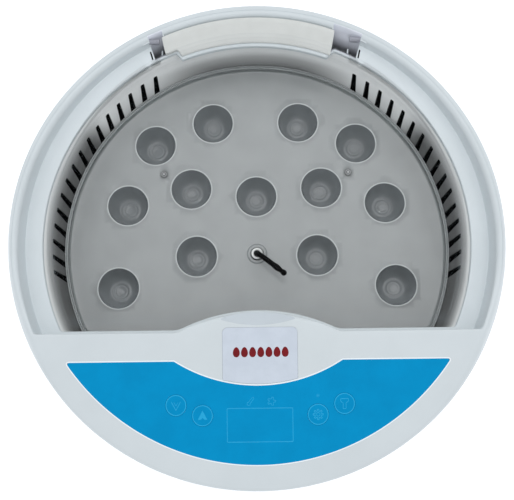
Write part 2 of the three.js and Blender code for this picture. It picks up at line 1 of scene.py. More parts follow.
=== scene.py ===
import bpy, bmesh, math
import numpy as np
from mathutils import Vector, Matrix
from mathutils.geometry import delaunay_2d_cdt


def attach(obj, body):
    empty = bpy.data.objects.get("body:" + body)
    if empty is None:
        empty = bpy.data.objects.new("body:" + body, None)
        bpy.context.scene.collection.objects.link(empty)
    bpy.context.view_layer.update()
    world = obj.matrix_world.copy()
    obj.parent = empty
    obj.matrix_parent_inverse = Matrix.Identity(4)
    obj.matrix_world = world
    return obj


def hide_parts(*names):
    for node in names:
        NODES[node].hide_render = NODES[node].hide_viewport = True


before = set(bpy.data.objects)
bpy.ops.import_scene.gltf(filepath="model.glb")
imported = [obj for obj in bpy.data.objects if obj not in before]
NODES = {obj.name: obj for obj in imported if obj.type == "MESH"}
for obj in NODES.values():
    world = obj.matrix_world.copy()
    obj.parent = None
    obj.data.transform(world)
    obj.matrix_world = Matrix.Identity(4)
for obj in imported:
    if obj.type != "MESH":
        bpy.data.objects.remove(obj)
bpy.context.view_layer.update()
MM = 0.001
pi = math.pi
rad = math.radians

# ------------------------------------------------------------------ dimensions of the frame (mm)
Z_SPLIT, LEDGE_Z, LEDGE_T = 58.0, 62.0, 2.5
R_OPEN, R_STEP, R_STEP_TOP, WALL = 117.5, 126.5, 128.1, 2.5
SLOT_Z0 = 34.0
Y_EDGE, Z_EDGE, TILT = -53.0, 75.8416, 9.0
RIM_FALL = 8.0 / 180.0
ARCH_Y, ARCH_R, FRONT = -135.1, 92.4, 2.6
NOSE_R = 113.3
NOSE_LIP = 112.0  # rounded lip in front of the hinge cover
POCKET_R0, POCKET_R1, POCKET_Z = 120.4, 131.4, 50.0
POCKETS = [(-61.4, -53.0), (46.0, 62.0)]
HINGE_Y, HINGE_Z = 114.0, 65.0
WALL_R0, WALL_Z0, WALL_S = 110.0, 33.0, 0.26
FLOOR_Z, LINER_T = 18.0, 2.2
TRAY_Z, TRAY_T, TRAY_RIM_Z = 33.0, 1.2, 37.4
CUP_R, CUP_Z = 11.6, 21.0
CUPS = [(0, 30.6), (-35, -4.8), (35, -4.8), (-38.2, 35.5), (38.2, 35.5), (-59.4, 62.5), (59.4, 62.5),
        (-25.3, 75.8), (25.3, 75.8), (-75.3, 26), (75.3, 26), (-80, -23), (80, -23)]
LEDS = [0, 1, 2, 7, 8, 9, 10, 11, 12]
PANEL_X = 0.7
KEYS = {"key_down": (-43.9, -90.5), "key_up": (-30.1, -95.9), "key_candler": (30.1, -95.9), "key_settings": (43.9, -90.5)}
OVER_R, OVER_Y, OVER_AY, OVER_AR = 121.4, -68.0, 1.5, 82.3
DISPLAY = (PANEL_X, -100.3, 34.2, 17.2)
BADGE = (PANEL_X + 0.2, 19.6, -50.9)
LID_R, LID_TOP, LID_T = 113.0, 98.0, 2.0
LED_DOT = (30.1, -86.2)
PROBE = (0.0, -3.7)
SCREW_R, SCREW_A = 123.5, (28, 152, 205, 335)
FOOT_R, FOOT_A = 92.0, (45, 135, 225, 315)
INLET_A, INLET_Z = -41.0, 30.0
T9, C9, S9 = math.tan(rad(TILT)), math.cos(rad(TILT)), math.sin(rad(TILT))
DECK_M = Matrix(((1, 0, 0, 0), (0, C9, -S9, Y_EDGE), (0, S9, C9, Z_EDGE), (0, 0, 0, 1)))


def deck_z(x, y):
    return Z_EDGE + (y - Y_EDGE) * T9


def deck_pt(x, y, w):
    """Point over the deck surface at plan x, y and height w square to the deck."""
    return (x, y - S9 * w, deck_z(x, y) + C9 * w)


# ------------------------------------------------------------------ small maths
def smin(a, b, k):
    h = np.clip(0.5 + 0.5 * (b - a) / k, 0, 1)
    return b * (1 - h) + a * h - k * h * (1 - h)


def smax(a, b, k):
    return -smin(-a, -b, k)


CX, CY = 0.0, 30.0


def ray_angles():
    a = list(np.arange(0, 360, 0.8))
    corners = [(-44.6, 108.3), (-41.8, 104.0), (45.6, 108.6), (42.8, 103.6), (106.3, -50.4), (-106.3, -50.4), (115, -53), (-115, -53), (42.5, -53), (-42.5, -53), (118, -51), (-118, -51), (-42, 107), (45, 107), (62.6, 109), (-62.6, 109), (62.6, 94.5), (-62.6, 94.5)]
    for x, y in corners:
        c = math.degrees(math.atan2(y - CY, x - CX)) % 360
        a += [(c + d) % 360 for d in np.arange(-2.4, 2.41, 0.2)]
    a = sorted(a)
    out = [a[0]]
    for v in a[1:]:
        if v - out[-1] > 0.12:
            out.append(v)
    return np.radians(np.array(out))


ANG = ray_angles()
DX, DY = np.cos(ANG), np.sin(ANG)
N = len(ANG)


def outline(fn):
    """Where rays from the middle of the chamber cross fn = 0, as an (N, 2) array."""
    lo, hi = np.zeros(N), np.full(N, 190.0)
    for _ in range(46):
        m = (lo + hi) / 2
        inside = fn(CX + m * DX, CY + m * DY) < 0
        lo, hi = np.where(inside, m, lo), np.where(inside, hi, m)
    return np.stack([CX + lo * DX, CY + lo * DY], 1)


def region(r, y0, ra, k=1.3):
    return lambda x, y: smax(smax(np.hypot(x, y) - r, y0 - y, k), ra - np.hypot(x, y - ARCH_Y), k)


def nose(x, y):
    left = ((x + 44.6) * 4 + (y - 108.3) * 3) / 5
    right = (-(x - 46.1) + (y - 109.1)) / 1.4142
    return smin(smin(np.hypot(x, y) - NOSE_LIP, left, 0.9), right, 1.0)


def opening(grow=0.0, amount=1.0):
    base = region(R_OPEN, Y_EDGE + FRONT, ARCH_R + FRONT)
    return lambda x, y: smax(base(x, y), nose(x, y) - (1 - amount) * 6.0, 1.2) - grow


def off(fn, d):
    return lambda x, y: fn(x, y) - d


def loop(xy, z):
    z = np.broadcast_to(np.asarray(z, float), (len(xy),))
    return np.column_stack([xy, z])


# ------------------------------------------------------------------ mesh makers
def new_object(name, verts, faces, mats, body, face_mats=None, sharp=35, weld=True):
    me = bpy.data.meshes.new(name)
    me.from_pydata([tuple(v) for v in np.asarray(verts, float) * MM], [], faces)
    for m in mats if isinstance(mats, (list, tuple)) else [mats]:
        me.materials.append(m)
    if face_mats is not None:
        if len(face_mats) != len(me.polygons):
            raise ValueError(name + ": face finishes do not match its faces")
        me.polygons.foreach_set("material_index", face_mats)
    bm = bmesh.new()
    bm.from_mesh(me)
    if weld:
        bmesh.ops.remove_doubles(bm, verts=bm.verts, dist=2e-6)
    bmesh.ops.dissolve_degenerate(bm, edges=bm.edges, dist=1e-6)
    bmesh.ops.recalc_face_normals(bm, faces=bm.faces)
    bm.to_mesh(me)
    bm.free()
    obj = bpy.data.objects.new(name, me)
    bpy.context.scene.collection.objects.link(obj)
    finish_shading(obj, sharp)
    if body:
        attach(obj, body)
    return obj


def finish_shading(obj, sharp=35):
    me = obj.data
    me.polygons.foreach_set("use_smooth", [True] * len(me.polygons))
    me.set_sharp_from_angle(angle=rad(sharp))
    me.update()


def weighted(obj):
    m = obj.modifiers.new("normals", "WEIGHTED_NORMAL")
    m.keep_sharp = True
    m.weight = 80
    return obj


def loft(loops, closed=True, cap_first=False, cap_last=False):
    """Quads between loops of equal length; closed joins the last loop to the first."""
    n = len(loops[0])
    verts = np.concatenate(loops)
    faces = []
    rows = len(loops)
    for i in range(rows if closed else rows - 1):
        a, b = i * n, ((i + 1) % rows) * n
        for j in range(n):
            k = (j + 1) % n
            faces.append((a + j, a + k, b + k, b + j))
    if cap_first:
        verts = np.vstack([verts, loops[0].mean(0)])
        c = len(verts) - 1
        faces += [(j, c, (j + 1) % n) for j in range(n)]
    if cap_last:
        verts = np.vstack([verts, loops[-1].mean(0)])
        c = len(verts) - 1
        b = (rows - 1) * n
        faces += [(b + j, b + (j + 1) % n, c) for j in range(n)]
    return verts, faces


def lathe(profile, seg=96, x=0.0, y=0.0, m=None):
    """Turned solid: profile of (r, z) that starts and ends on the axis or closes on itself."""
    a = np.arange(seg) * 2 * pi / seg
    closed = abs(profile[0][0]) > 1e-6
    loops, caps = [], []
    for r, z in profile:
        loops.append(np.column_stack([r * np.cos(a) + x, r * np.sin(a) + y, np.full(seg, float(z))]))
    v, f = loft(loops, closed=closed)
    if m is not None:
        v = np.array([(m @ Vector(p))[:] for p in v])
    return v, f


def fillet(p0, p1, p2, r, n=5):
    """Rounds corner p1 of a profile."""
    a, b, c = (np.array(p, float) for p in (p0, p1, p2))
    u, w = (a - b) / np.linalg.norm(a - b), (c - b) / np.linalg.norm(c - b)
    ang = math.acos(np.clip(np.dot(u, w), -1, 1))
    t = min(r / math.tan(ang / 2), np.linalg.norm(a - b) * 0.49, np.linalg.norm(c - b) * 0.49)
    s, e = b + u * t, b + w * t
    out = []
    for i in range(n + 1):
        q = i / n
        out.append(tuple((1 - q) ** 2 * s + 2 * q * (1 - q) * b + q ** 2 * e))
    return out


def rounded(profile, radii, n=5):
    out = [tuple(profile[0])]
    for i in range(1, len(profile) - 1):
        out += fillet(profile[i - 1], profile[i], profile[i + 1], radii[i], n) if radii[i] else [tuple(profile[i])]
    return out + [tuple(profile[-1])]


def smooth_poly(points, r, n=5, closed=True):
    """Rounds every corner of a closed polygon."""
    out = []
    k = len(points)
    for i in range(k):
        ri = r[i] if isinstance(r, (list, tuple)) else r
        out += fillet(points[i - 1], points[i], points[(i + 1) % k], ri, n) if ri else [tuple(points[i])]
    return out


def poly_normals(p):
    p = np.asarray(p, float)
    d = np.roll(p, -1, 0) - p
    d /= np.maximum(np.linalg.norm(d, axis=1, keepdims=True), 1e-9)
    nrm = np.column_stack([d[:, 1], -d[:, 0]])  # outward for a counter-clockwise outline
    a = nrm + np.roll(nrm, 1, 0)
    a /= np.maximum(np.linalg.norm(a, axis=1, keepdims=True), 1e-9)
    cosh = np.clip((a * nrm).sum(1, keepdims=True), 0.5, 1)
    return a / cosh


def ccw(p):
    p = np.asarray(p, float)
    x, y = p[:, 0], p[:, 1]
    area = (x * np.roll(y, -1) - np.roll(x, -1) * y).sum()
    return p if area > 0 else p[::-1].copy()


def inside_poly(pt, poly):
    x, y = pt
    px, py = poly[:, 0], poly[:, 1]
    qx, qy = np.roll(px, -1), np.roll(py, -1)
    c = ((py > y) != (qy > y)) & (x < (qx - px) * (y - py) / (qy - py + 1e-12) + px)
    return bool(c.sum() % 2)


def inside_many(pts, poly):
    px, py = poly[:, 0][None], poly[:, 1][None]
    qx, qy = np.roll(poly[:, 0], -1)[None], np.roll(poly[:, 1], -1)[None]
    x, y = pts[:, 0][:, None], pts[:, 1][:, None]
    c = ((py > y) != (qy > y)) & (x < (qx - px) * (y - py) / (qy - py + 1e-12) + px)
    return c.sum(1) % 2 == 1


def fill(outer, holes=(), grid=0.0):
    """Triangles between an outline and holes in plan; returns (points, triangles)."""
    pts = [tuple(p) for p in outer]
    edges = [(i, (i + 1) % len(outer)) for i in range(len(outer))]
    for h in holes:
        b = len(pts)
        pts += [tuple(p) for p in h]
        edges += [(b + i, b + (i + 1) % len(h)) for i in range(len(h))]
    if grid:
        o = np.asarray(outer)
        xs = np.arange(o[:, 0].min() + grid / 2, o[:, 0].max(), grid)
        ys = np.arange(o[:, 1].min() + grid / 2, o[:, 1].max(), grid)
        g = np.array([(x, y) for x in xs for y in ys])
        keep = inside_many(g, o)
        for h in holes:
            keep &= ~inside_many(g, np.asarray(h))
        g = g[keep]
        allp = np.array(pts)
        for p in g:
            if np.min(np.hypot(allp[:, 0] - p[0], allp[:, 1] - p[1])) > grid * 0.35:
                pts.append((float(p[0]), float(p[1])))
    v, e, f, ov, oe, of = delaunay_2d_cdt([Vector(p) for p in pts], edges, [], 1, 1e-7)
    v = np.array([tuple(p) for p in v])
    f = [tuple(t) for t in f]
    cen = np.array([v[list(t)].mean(0) for t in f])
    keep = inside_many(cen, np.asarray(outer))
    for h in holes:
        keep &= ~inside_many(cen, np.asarray(h))
    return v, [t for t, k in zip(f, keep) if k]


def plate(outer, holes, top, bottom, bevel=0.3, steps=3, grid=0.0, bevel_holes=True):
    """A plate with rounded upper edges. top and bottom give (x, y, z) from plan x, y and a height drop."""
    outer = ccw(outer)
    holes = [ccw(h) for h in holes]
    verts, faces = [], []

    def ring(points):
        b = len(verts)
        verts.extend(points)
        return list(range(b, b + len(points)))

    def bridge(a, b):
        n = len(a)
        for i in range(n):
            j = (i + 1) % n
            faces.append((a[i], a[j], b[j], b[i]))

    rims = []
    for c, sign in [(outer, 1.0)] + [(h, -1.0) for h in holes]:
        nrm = poly_normals(c) * sign
        bv = bevel if (sign > 0 or bevel_holes) else 0.0
        rows = []
        if bv:
            for i in range(steps + 1):
                t = (i / steps) * pi / 2
                inset, drop = bv * (1 - math.sin(t)), bv * (1 - math.cos(t))
                q = c - nrm * inset
                rows.append(ring([top(x, y, drop) for x, y in q]))
            tops = c - nrm * bv
        else:
            rows.append(ring([top(x, y, 0) for x, y in c]))
            tops = c
        low = ring([bottom(x, y) for x, y in c])
        rows.append(low)
        for a, b in zip(rows, rows[1:]):
            bridge(a, b)
        rims.append((tops, c))
    for which, z in ((0, lambda x, y: top(x, y, 0)), (1, bottom)):
        v, f = fill(rims[0][which], [r[which] for r in rims[1:]], grid)
        b = len(verts)
        verts.extend([z(x, y) for x, y in v])
        faces.extend([tuple(b + i for i in t) for t in f])
    return np.array(verts, float), faces


def merge(*parts):
    verts, faces = [], []
    b = 0
    for v, f in parts:
        verts.append(np.asarray(v, float))
        faces += [tuple(b + i for i in t) for t in f]
        b += len(v)
    return np.concatenate(verts), faces


def box_mesh(x0, x1, y0, y1, z0, z1, m=None):
    v = np.array([(x, y, z) for z in (z0, z1) for x, y in ((x0, y0), (x1, y0), (x1, y1), (x0, y1))], float)
    f = [(3, 2, 1, 0), (4, 5, 6, 7), (0, 1, 5, 4), (1, 2, 6, 5), (2, 3, 7, 6), (3, 0, 4, 7)]
    if m is not None:
        v = np.array([(m @ Vector(p))[:] for p in v])
    return v, f


def prism_mesh(outer, z0, z1, m=None):
    """Straight prism; z0 and z1 are numbers or functions of x, y."""
    outer = ccw(outer)
    f0 = z0 if callable(z0) else (lambda x, y: z0)
    f1 = z1 if callable(z1) else (lambda x, y: z1)
    return plate(outer, [], lambda x, y, d: (x, y, f1(x, y)), lambda x, y: (x, y, f0(x, y)), bevel=0)


def raw(name, v, f):
    me = bpy.data.meshes.new(name)
    me.from_pydata([tuple(p) for p in np.asarray(v, float) * MM], [], f)
    bm = bmesh.new()
    bm.from_mesh(me)
    bmesh.ops.remove_doubles(bm, verts=bm.verts, dist=1e-6)
    bmesh.ops.recalc_face_normals(bm, faces=bm.faces)
    bm.to_mesh(me)
    bm.free()
    o = bpy.data.objects.new(name, me)
    bpy.context.scene.collection.objects.link(o)
    return o


def boolean(obj, parts, op="DIFFERENCE", mat_index=None, sharp=35, solver="MANIFOLD"):
    """Cuts or joins obj with solids given as (verts, faces), and keeps obj's materials."""
    tools = []
    keep = list(obj.data.materials)
    for i, part in enumerate(parts):
        v, f = part[0], part[1]
        t = raw("tool_%d" % i, v, f)
        for m in keep:
            t.data.materials.append(m)
        if len(part) > 2:
            if len(t.data.polygons) != len(part[2]):
                raise ValueError("a cutter lost faces")
            t.data.polygons.foreach_set("material_index", part[2])
        elif mat_index is not None:
            t.data.polygons.foreach_set("material_index", [mat_index] * len(t.data.polygons))
        tools.append(t)
        md = obj.modifiers.new("b%d" % i, "BOOLEAN")
        md.operation, md.object, md.solver = op, t, solver
    dg = bpy.context.evaluated_depsgraph_get()
    me = bpy.data.meshes.new_from_object(obj.evaluated_get(dg), preserve_all_data_layers=True, depsgraph=dg)
    obj.modifiers.clear()
    # put the object's own list of finishes back in its order
    now = list(me.materials)
    if keep:
        idx = [keep.index(now[q.material_index]) if q.material_index < len(now) and now[q.material_index] in keep else 0 for q in me.polygons]
        me.materials.clear()
        for m in keep:
            me.materials.append(m)
        me.polygons.foreach_set("material_index", idx)
    old = obj.data
    name = old.name
    obj.data = me
    bpy.data.meshes.remove(old)
    me.name = name
    for t in tools:
        d = t.data
        bpy.data.objects.remove(t)
        bpy.data.meshes.remove(d)
    bm = bmesh.new()
    bm.from_mesh(me)
    bmesh.ops.remove_doubles(bm, verts=bm.verts, dist=1.5e-6)
    bmesh.ops.dissolve_degenerate(bm, edges=bm.edges, dist=1e-6)
    bm.to_mesh(me)
    bm.free()
    finish_shading(obj, sharp)
    return obj


# ------------------------------------------------------------------ materials, all from nodes
def lin(c):
    return tuple(((v / 255) / 12.92 if v / 255 <= 0.04045 else ((v / 255 + 0.055) / 1.055) ** 2.4) for v in c) + (1.0,)


def node(nt, kind, x=0, y=0, **values):
    n = nt.nodes.new(kind)
    n.location = (x, y)
    for k, v in values.items():
        if k in n.inputs:
            n.inputs[k].default_value = v
        else:
            setattr(n, k, v)
    return n


def material(name, col, col2=None, rough=0.45, rough_amp=0.08, mottle=70.0, grain=1400.0, bump=0.012, spec=0.5,
             metallic=0.0, ior=1.46, coat=0.0, coat_rough=0.1, alpha=None, tint=None, edge=0.0, fleck=None, emit=0.0,
             aniso=0.0, detail=3.0, alpha_edge=None, sub=0.0, stretch=(1, 1, 1), bump_mid=0.0, painted_shade=None, falloff=1.0, painted_shade_rear=None, side=None):
    """Base colour wanders between col and col2; roughness and the surface grain come from finer noise."""
    m = bpy.data.materials.new(name)
    m.use_nodes = True
    nt = m.node_tree
    nt.nodes.clear()
    out = node(nt, "ShaderNodeOutputMaterial", 900, 0)
    p = node(nt, "ShaderNodeBsdfPrincipled", 300, 0)
    tc = node(nt, "ShaderNodeTexCoord", -1100, 0)
    mp = node(nt, "ShaderNodeMapping", -900, 0)
    mp.inputs["Scale"].default_value = stretch
    nt.links.new(tc.outputs["Object"], mp.inputs["Vector"])
    big = node(nt, "ShaderNodeTexNoise", -650, 250, Scale=mottle, Detail=detail, Roughness=0.55)
    fine = node(nt, "ShaderNodeTexNoise", -650, -50, Scale=grain, Detail=2.0, Roughness=0.6)
    for n in (big, fine):
        nt.links.new(mp.outputs["Vector"], n.inputs["Vector"])
    ramp = node(nt, "ShaderNodeValToRGB", -400, 250)
    ramp.color_ramp.elements[0].position, ramp.color_ramp.elements[1].position = 0.34, 0.66
    ramp.color_ramp.elements[0].color = lin(col)
    ramp.color_ramp.elements[1].color = lin(col2 or tuple(min(255, v + 3) for v in col))
    nt.links.new(big.outputs["Fac"], ramp.inputs["Fac"])
    colour = ramp.outputs["Color"]
    if fleck:
        fcol, lo, hi, fscale = fleck
        vor = node(nt, "ShaderNodeTexNoise", -650, 500, Scale=fscale, Detail=1.0)
        nt.links.new(mp.outputs["Vector"], vor.inputs["Vector"])
        mr = node(nt, "ShaderNodeMapRange", -400, 500)
        mr.inputs["From Min"].default_value, mr.inputs["From Max"].default_value = lo, hi
        nt.links.new(vor.outputs["Fac"], mr.inputs["Value"])
        mix = node(nt, "ShaderNodeMix", -150, 400, data_type="RGBA")
        nt.links.new(mr.outputs["Result"], mix.inputs["Factor"])
        nt.links.new(colour, mix.inputs[6])
        mix.inputs[7].default_value = lin(fcol)
        colour = mix.outputs[2]
    if painted_shade:
        # painted shade by height, as (height in metres, factor): the base colour is multiplied darker towards the
        # bottom of a recess
        sep = node(nt, "ShaderNodeSeparateXYZ", -900, 700)
        nt.links.new(tc.outputs["Object"], sep.inputs["Vector"])
        span = node(nt, "ShaderNodeMapRange", -650, 750)
        z0_, z1_ = painted_shade[0][0], painted_shade[-1][0]
        span.inputs["From Min"].default_value, span.inputs["From Max"].default_value = z0_, z1_
        nt.links.new(sep.outputs["Z"], span.inputs["Value"])
        fr = node(nt, "ShaderNodeValToRGB", -400, 750)
        el = fr.color_ramp.elements
        el[0].position, el[0].color = 0.0, (painted_shade[0][1],) * 3 + (1,)
        el[1].position, el[1].color = 1.0, (painted_shade[-1][1],) * 3 + (1,)
        for h, k in painted_shade[1:-1]:
            e = el.new((h - z0_) / (z1_ - z0_))
            e.color = (k, k, k, 1)
        nt.links.new(span.outputs["Result"], fr.inputs["Fac"])
        tone = fr.outputs["Color"]
        if painted_shade_rear:
            # zones further back have their own painted shade at the same heights, and take over between two depths
            for levels, y0_, y1_ in painted_shade_rear:
                fb = node(nt, "ShaderNodeValToRGB", -400, 1000)
                el = fb.color_ramp.elements
                el[0].position, el[0].color = 0.0, (levels[0][1],) * 3 + (1,)
                el[1].position, el[1].color = 1.0, (levels[-1][1],) * 3 + (1,)
                for h, k in levels[1:-1]:
                    e = el.new((h - z0_) / (z1_ - z0_))
                    e.color = (k, k, k, 1)
                nt.links.new(span.outputs["Result"], fb.inputs["Fac"])
                sy = node(nt, "ShaderNodeMapRange", -650, 1000, interpolation_type="SMOOTHSTEP")
                sy.inputs["From Min"].default_value, sy.inputs["From Max"].default_value = y0_, y1_
                nt.links.new(sep.outputs["Y"], sy.inputs["Value"])
                both = node(nt, "ShaderNodeMix", -150, 900, data_type="RGBA")
                nt.links.new(sy.outputs["Result"], both.inputs["Factor"])
                nt.links.new(tone, both.inputs[6])
                nt.links.new(fb.outputs["Color"], both.inputs[7])
                tone = both.outputs[2]
        mul = node(nt, "ShaderNodeMix", 0, 500, data_type="RGBA", blend_type="MULTIPLY")
        mul.inputs["Factor"].default_value = 1.0
        nt.links.new(colour, mul.inputs[6])
        nt.links.new(tone, mul.inputs[7])
        colour = mul.outputs[2]
    nt.links.new(colour, p.inputs["Base Color"])
    mr = node(nt, "ShaderNodeMapRange", -400, -50)
    mr.inputs["From Min"].default_value, mr.inputs["From Max"].default_value = 0.3, 0.7
    mr.inputs["To Min"].default_value, mr.inputs["To Max"].default_value = max(0.02, rough - rough_amp), min(1.0, rough + rough_amp)
    nt.links.new(fine.outputs["Fac"], mr.inputs["Value"])
    nt.links.new(mr.outputs["Result"], p.inputs["Roughness"])
    if bump:
        b = node(nt, "ShaderNodeBump", 0, -250, Strength=0.5, Distance=bump * MM)
        nt.links.new(fine.outputs["Fac"], b.inputs["Height"])
        last = b
        if bump_mid:
            b2 = node(nt, "ShaderNodeBump", 150, -350, Strength=0.5, Distance=bump_mid * MM)
            nt.links.new(big.outputs["Fac"], b2.inputs["Height"])
            nt.links.new(b.outputs["Normal"], b2.inputs["Normal"])
            last = b2
        nt.links.new(last.outputs["Normal"], p.inputs["Normal"])
    p.inputs["Metallic"].default_value = metallic
    p.inputs["Specular IOR Level"].default_value = spec
    p.inputs["IOR"].default_value = ior
    p.inputs["Coat Weight"].default_value = coat
    p.inputs["Coat Roughness"].default_value = coat_rough
    p.inputs["Anisotropic"].default_value = aniso
    if sub:
        p.inputs["Subsurface Weight"].default_value = sub
        p.inputs["Subsurface Radius"].default_value = (0.004, 0.003, 0.002)
    if emit:
        p.inputs["Emission Color"].default_value = lin(col)
        p.inputs["Emission Strength"].default_value = emit
    if alpha is None:
        nt.links.new(p.outputs["BSDF"], out.inputs["Surface"])
    else:
        tr = node(nt, "ShaderNodeBsdfTransparent", 300, 250)
        tr.inputs["Color"].default_value = lin(tint or (255, 255, 255))
        lw = node(nt, "ShaderNodeLayerWeight", -150, 650, Blend=0.3)
        mr2 = node(nt, "ShaderNodeMapRange", 100, 650)
        mr2.inputs["To Min"].default_value = alpha
        mr2.inputs["To Max"].default_value = alpha_edge if alpha_edge is not None else min(1.0, alpha + 0.35)
        if falloff != 1.0:
            pw = node(nt, "ShaderNodeMath", 0, 650, operation="POWER")
            nt.links.new(lw.outputs["Facing"], pw.inputs[0])
            pw.inputs[1].default_value = falloff
            nt.links.new(pw.outputs[0], mr2.inputs["Value"])
        else:
            nt.links.new(lw.outputs["Facing"], mr2.inputs["Value"])
        mix = node(nt, "ShaderNodeMixShader", 600, 100)
        share = mr2.outputs["Result"]
        if side:
            # seen from low down a clear wall catches the bright surroundings, from straight above it does not
            geo = node(nt, "ShaderNodeNewGeometry", -150, 850)
            up = node(nt, "ShaderNodeSeparateXYZ", 0, 850)
            nt.links.new(geo.outputs["Incoming"], up.inputs["Vector"])
            low = node(nt, "ShaderNodeMapRange", 150, 850)
            low.inputs["From Min"].default_value, low.inputs["From Max"].default_value = 0.55, 0.89
            low.inputs["To Min"].default_value, low.inputs["To Max"].default_value = 1.0, 0.0
            nt.links.new(up.outputs["Z"], low.inputs["Value"])
            amount = node(nt, "ShaderNodeMapRange", 150, 1050)
            amount.inputs["To Min"].default_value, amount.inputs["To Max"].default_value = side
            nt.links.new(lw.outputs["Facing"], amount.inputs["Value"])
            prod = node(nt, "ShaderNodeMath", 350, 850, operation="MULTIPLY")
            nt.links.new(low.outputs["Result"], prod.inputs[0])
            nt.links.new(amount.outputs["Result"], prod.inputs[1])
            eye = node(nt, "ShaderNodeLightPath", 150, 1250)
            seen = node(nt, "ShaderNodeMath", 400, 1000, operation="MULTIPLY")
            nt.links.new(prod.outputs[0], seen.inputs[0])
            nt.links.new(eye.outputs["Is Camera Ray"], seen.inputs[1])
            most = node(nt, "ShaderNodeMath", 450, 700, operation="MAXIMUM")
            nt.links.new(share, most.inputs[0])
            nt.links.new(seen.outputs[0], most.inputs[1])
            share = most.outputs[0]
        nt.links.new(share, mix.inputs[0])
        nt.links.new(tr.outputs["BSDF"], mix.inputs[1])
        nt.links.new(p.outputs["BSDF"], mix.inputs[2])
        nt.links.new(mix.outputs["Shader"], out.inputs["Surface"])
    m.diffuse_color = lin(col)
    return m


M = {}
M["shell"] = material("shell_white", (205, 212, 215), (208, 215, 218), rough=0.38, rough_amp=0.06, grain=900, bump=0.010, mottle=45, bump_mid=0.03)
M["cover"] = material("cover_white", (206, 213, 216), (209, 216, 219), rough=0.36, rough_amp=0.06, grain=1200, bump=0.008, mottle=40, bump_mid=0.03)
# ledge: a brighter copy of the cover white, painted light that makes up for the shade of the rim step and the lid
M["ledge"] = material("ledge_painted_light", (215, 222, 225), (218, 225, 228), rough=0.5, rough_amp=0.06, spec=0.2, grain=1200, bump=0.008, mottle=40, bump_mid=0.03)
# scoop: a darker copy of the cover white, painted shade for the finger dent
M["scoop"] = material("scoop_painted_shade", (192, 200, 206), (195, 203, 209), rough=0.36, rough_amp=0.06, grain=1200, bump=0.008, mottle=40, bump_mid=0.03)
# pocket: cover white with painted shade, darker towards the bottom of the hinge pockets
M["pocket"] = material("pocket_painted_shade", (232, 235, 244), (236, 239, 248), rough=0.4, rough_amp=0.06, grain=1200, bump=0.008, mottle=60,
                       painted_shade=[(0.050, 0.09), (0.055, 0.2), (0.0585, 0.52), (0.0615, 0.76), (0.065, 1.0)])
M["bar"] = material("hinge_cover_matt", (208, 210, 207), (212, 214, 211), rough=0.62, rough_amp=0.1, grain=1600, bump=0.035, mottle=120)
# liner: white, with painted shade darker towards the bottom of the chamber wall; two zones further back have their own
# painted shade
M["liner"] = material("liner_white", (236, 238, 237), (240, 242, 241), rough=0.42, rough_amp=0.08, grain=1100, bump=0.012, mottle=50,
                      painted_shade=[(0.036, 0.12), (0.045, 0.12), (0.050, 0.24), (0.054, 0.48), (0.0572, 0.76), (0.0588, 1.0), (0.062, 1.0)],
                      painted_shade_rear=[([(0.036, 0.62), (0.040, 0.78), (0.045, 0.92), (0.050, 1.0), (0.055, 1.0), (0.062, 1.0)], 0.060, 0.076),
                                 ([(0.036, 0.24), (0.0395, 0.30), (0.045, 0.53), (0.050, 0.98), (0.053, 1.0), (0.062, 1.0)], 0.094, 0.110)])
# near-black painted shade for faces behind the liner, inside the bowl, in the vent slots and the slits
M["dark"] = material("inner_painted_shade", (9, 9, 10), (13, 13, 14), rough=0.85, grain=900, bump=0.02, spec=0.1)
M["tray"] = material("tray_clear", (180, 183, 183), (186, 189, 189), rough=0.2, rough_amp=0.06, grain=500, bump=0.015, mottle=60, alpha=0.66, alpha_edge=0.9, tint=(240, 244, 244), spec=0.5, bump_mid=0.04)
M["tray_rim"] = material("tray_rim_painted_highlight", (200, 203, 203), (206, 209, 209), rough=0.12, rough_amp=0.03, grain=500, bump=0.006, mottle=60, alpha=0.42, alpha_edge=0.7, tint=(246, 248, 248), spec=0.5)
M["cup_rim"] = material("cup_rim_painted_highlight", (228, 231, 231), (234, 237, 237), rough=0.1, rough_amp=0.03, grain=500, bump=0.006, mottle=60, alpha=0.62, alpha_edge=0.9, tint=(246, 248, 248), spec=0.7)
M["tray_side"] = material("tray_clear_side", (196, 200, 200), (202, 206, 206), rough=0.12, rough_amp=0.04, grain=500, bump=0.006, mottle=60, alpha=0.14, alpha_edge=0.34, tint=(244, 247, 247), spec=0.3)
M["cup"] = material("tray_cup_painted_shade", (146, 151, 153), (153, 158, 160), rough=0.07, rough_amp=0.02, coat=0.6, coat_rough=0.04, grain=700, bump=0.01, mottle=90, alpha=0.62, alpha_edge=0.9, tint=(226, 230, 231), spec=0.6)
M["bead"] = material("film_bead_painted_highlight", (240, 245, 247), (244, 249, 251), rough=0.3, rough_amp=0.05, grain=1200, bump=0.006, mottle=60)
M["lid"] = material("lid_clear", (196, 208, 214), (202, 213, 219), side=(0.10, 0.72), rough=0.05, rough_amp=0.02, grain=300, bump=0.004, mottle=30, alpha=0.002, alpha_edge=0.18, tint=(255, 255, 255), spec=0.5, falloff=3.0)
M["blue"] = material("film_blue", (0, 140, 194), (0, 145, 200), rough=0.5, rough_amp=0.07, grain=1500, bump=0.008, mottle=90, spec=0.06)
M["blue_line"] = material("film_emboss", (14, 161, 213), (22, 167, 217), rough=0.35, rough_amp=0.06, grain=1500, bump=0.006, mottle=160, spec=0.3)
M["badge"] = material("badge_pearl", (198, 206, 217), (204, 212, 223), rough=0.34, rough_amp=0.06, grain=900, bump=0.006, mottle=110)
M["red"] = material("badge_print", (112, 10, 18), (124, 14, 22), rough=0.4, spec=0.2, rough_amp=0.05, grain=900, bump=0.006, mottle=300)
M["steel"] = material("steel_bright", (176, 178, 180), (190, 192, 194), rough=0.28, rough_amp=0.08, grain=1200, bump=0.01, metallic=1.0, stretch=(1, 1, 6))
